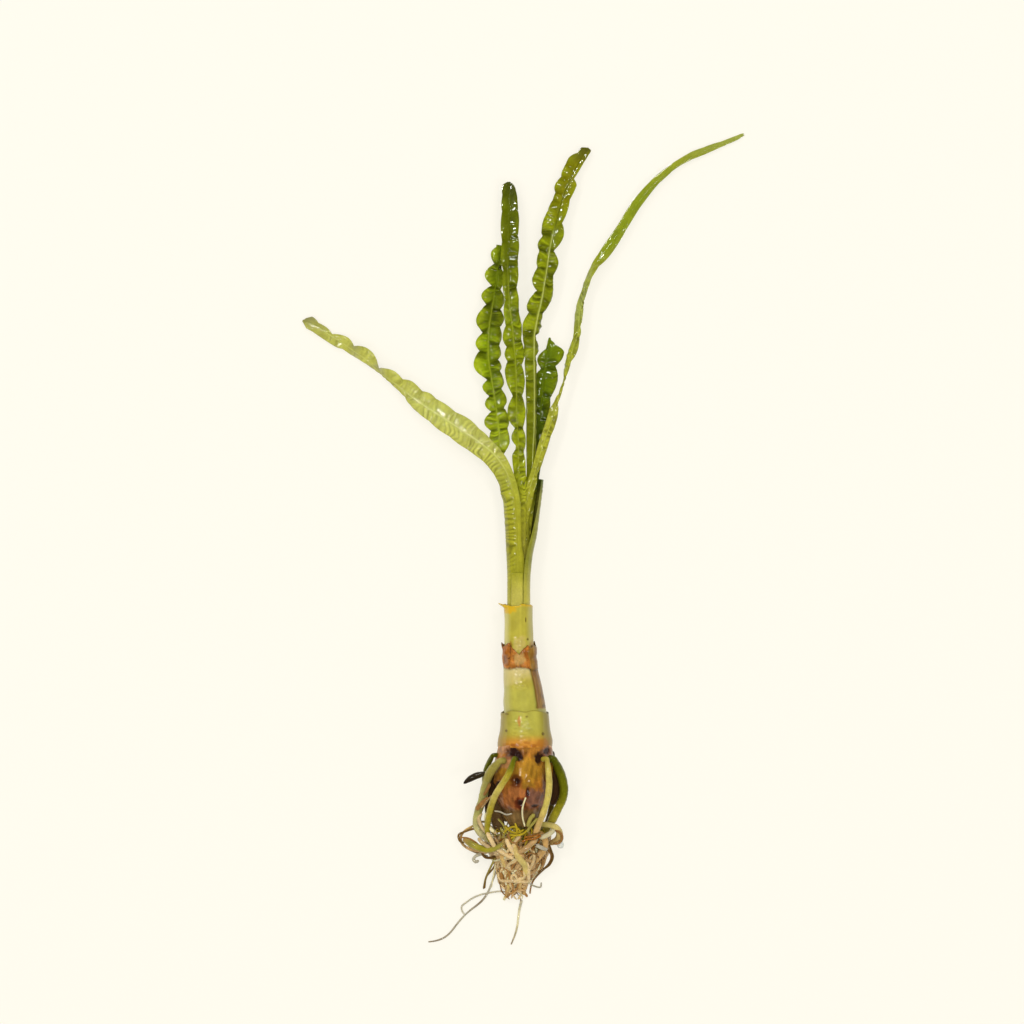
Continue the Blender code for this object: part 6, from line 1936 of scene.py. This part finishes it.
def add_roots():
    """The roots on the paths of their solids. Those on the bulb start inside its skin."""
    coarse = [sampled(points, FINE_STEP) for points in ROOTS.values()]
    for number, (name, path) in enumerate(zip(ROOTS, spread_roots(coarse))):
        if path[0, 1] > BASAL_END_Y:
            inward = axis_at(path[0, 1]) - path[0, :3]
            inner = np.append(path[0, :3] + inward * ROOT_DEPTH_SHARE, path[0, 3] * ROOT_COLLAR)
            path = np.concatenate([[inner], path])
        length = row_length(path)
        path = sampled(path, FINE_ROOT_STEP)
        places = np.linspace(0.0, length, len(path))
        swell = SWELL_SHARE * lattice_noise(places / SWELL_LENGTH, number, SWELL_LAYER, SWELL_SEED)
        path[:, 3] = np.maximum(path[:, 3], THINNEST_ROOT) * (1 + swell) * ROOT_GAINS.get(name, 1.0)
        thin = path[:, 3].max() < THIN_ROOT_RADIUS
        rings = tube_points(path, FINE_AROUND if thin else ROOT_AROUND)
        grain = blobs(rings, GRAIN_SIZE, GRAIN_SEED)
        centre = path[:, None, :3]
        rings = centre + (rings - centre) * (1 + ROOT_GRAIN * grain[..., None])
        fields = {"share": np.broadcast_to((places / length)[:, None], rings.shape[:2])}
        faces = ring_faces(*rings.shape[:2], closed=True)
        add_piece(name + "_skin", rings, faces, root_finish(name, ROOT_LOOKS[name]), fields, (name,))


def tangle_at(y):
    """Middle, half width, lowest and highest point of the tangle at a place along Y."""
    places, *columns = np.array(TANGLE).T
    return [np.interp(-y, -places, column) for column in columns]


def tangle_path(random, radius, first_y, last_y, most, turn):
    """One rootlet that winds down through the tangle at its own depth, thinner towards its tip."""
    y = random.uniform(last_y, first_y)
    middle, half, _, _ = tangle_at(y)
    x = middle + half * random.uniform(-TANGLE_FILL, TANGLE_FILL)
    depth = random.uniform(0.0, 1.0) ** DEPTH_POWER
    heading = np.radians(random.normal(DOWNWARD, HEADING_SPREAD))
    lowest = TANGLE[-1][0] + TANGLE_FRAY * random.uniform(0.0, 1.0) ** 2
    bend = 0.0
    path = []
    for share in np.linspace(0.0, 1.0, int(most * random.uniform(TANGLE_SHORTEST, 1.0))):
        if y < lowest:
            break
        middle, half, low, high = tangle_at(y)
        across = np.clip((x - middle) / half, -1.0, 1.0)
        z = low + depth * (high - low) * np.sqrt(1 - TANGLE_CROWN * across**2)
        thin = radius * (1 - STRAND_TAPER * share)
        path.append([x, y, max(z, thin), thin])
        bend = BEND_KEPT * bend + turn * random.normal()
        home = np.arctan2(-1.0, -HOME_STEEPNESS * across**3)
        heading = heading + bend + HOME_PULL * np.sin(home - heading)
        x = np.clip(x + TANGLE_STEP * np.cos(heading), middle - half, middle + half)
        y = min(y + TANGLE_STEP * np.sin(heading), TANGLE_TOP)
    return np.array(path)


def add_rootlets():
    """The tangle of fine rootlets: those listed one by one, and seeded ones that fill it."""
    random = np.random.default_rng(TANGLE_SEED)
    strands = {kind: [] for kind in ROOTLETS}
    for kind, rows in ROOTLETS.items():
        for radius, flatness, points in rows:
            path = sampled([(*point, radius) for point in points], FINE_ROOT_STEP)
            strands[kind].append(tube_points(path, FINE_AROUND, flatness))
    for kind, count, least, greatest, *winding in TANGLE_KINDS:
        for _ in range(count):
            path = tangle_path(random, random.uniform(least, greatest), *winding)
            strands[kind].append(tube_points(path, FINE_AROUND))
    for kind, tubes in strands.items():
        add_strands(kind, tubes, random)


def add_strands(kind, tubes, random):
    """All rootlets of one colour as one piece, each with a tone of its own."""
    points, faces, tone = [], [], []
    for rings in tubes:
        start = sum(len(strand) for strand in points)
        faces += [[corner + start for corner in face]
                  for face in ring_faces(len(rings), FINE_AROUND, closed=True)]
        points.append(rings.reshape(-1, 3))
        tone.append(np.full(len(points[-1]), random.uniform(0.0, 1.0)))
    fields = {"tone": np.concatenate(tone)}
    piece = add_piece("rootlets_" + kind, np.concatenate(points), faces, rootlet_finish(kind), fields)


def rootlet_finish(kind):
    """Fine rootlets of one colour, each a little lighter or darker than the next."""
    root = Finish("rootlets_" + kind + "_finish", **SKINS["rootlet"])
    tone = root.range(root.field("tone"), 0.0, 1.0, *STRAND_LIGHT)
    return root.finish(root.mottled(root.shade(screen_colour(ROOTLET_COLOURS[kind]), tone)))


def add_floor():
    """The plain pale surface that the plant lies on."""
    half = FLOOR_SIZE / 2
    mesh = bpy.data.meshes.new("floor")
    corners = [(-half, -half, 0.0), (half, -half, 0.0), (half, half, 0.0), (-half, half, 0.0)]
    mesh.from_pydata([tuple(value * MM for value in corner) for corner in corners], [], [(0, 1, 2, 3)])
    finish = Finish("floor_finish", roughness=1.0)
    finish.shader.inputs["Base Color"].default_value = (*FLOOR_ALBEDO, 1.0)
    finish.shader.inputs["Specular IOR Level"].default_value = 0.0
    finish.shader.inputs["Emission Color"].default_value = screen_colour("floor_cream")
    finish.shader.inputs["Emission Strength"].default_value = FLOOR_GLOW
    mesh.materials.append(finish.material)
    floor = bpy.data.objects.new("floor", mesh)
    bpy.context.scene.collection.objects.link(floor)


def add_light(name, power, place, size, diffuse, gloss):
    """A flat light that points at the plant."""
    light = bpy.data.lights.new(name, "AREA")
    light.energy = power
    light.shape = "RECTANGLE"
    light.size, light.size_y = [side * MM for side in size]
    item = bpy.data.objects.new(name, light)
    item.location = Vector(place) * MM
    item.rotation_euler = item.location.to_track_quat("Z", "Y").to_euler()
    item.visible_diffuse = diffuse
    item.visible_glossy = gloss
    bpy.context.scene.collection.objects.link(item)


def add_lights():
    """Soft light from all around, and small lights that glint on the wet skins."""
    world = bpy.data.worlds.new("surround")
    bpy.context.scene.world = world
    world.use_nodes = True
    background = world.node_tree.nodes["Background"]
    background.inputs["Color"].default_value = (1.0, 1.0, 1.0, 1.0)
    background.inputs["Strength"].default_value = SURROUND_STRENGTH
    world.cycles_visibility.glossy = False
    for name, settings in LIGHTS.items():
        add_light(name, *settings)


def add_camera():
    """A camera that looks straight down."""
    camera = bpy.data.cameras.new("camera")
    camera.lens = CAMERA_LENS
    camera.sensor_width = CAMERA_SENSOR
    camera.clip_start = CAMERA_NEAR * MM
    camera.clip_end = CAMERA_FAR * MM
    item = bpy.data.objects.new("camera", camera)
    item.location = Vector((CAMERA_X, CAMERA_Y, CAMERA_HEIGHT)) * MM
    bpy.context.scene.collection.objects.link(item)
    bpy.context.scene.camera = item


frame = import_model()
add_camera()
add_lights()
add_floor()
add_bulb()
for sleeve_name in SLEEVES:
    add_sleeve(sleeve_name)
for leaf_name in LEAVES:
    add_leaf(leaf_name)
add_roots()
add_rootlets()
bpy.context.scene.view_settings.view_transform = "Standard"
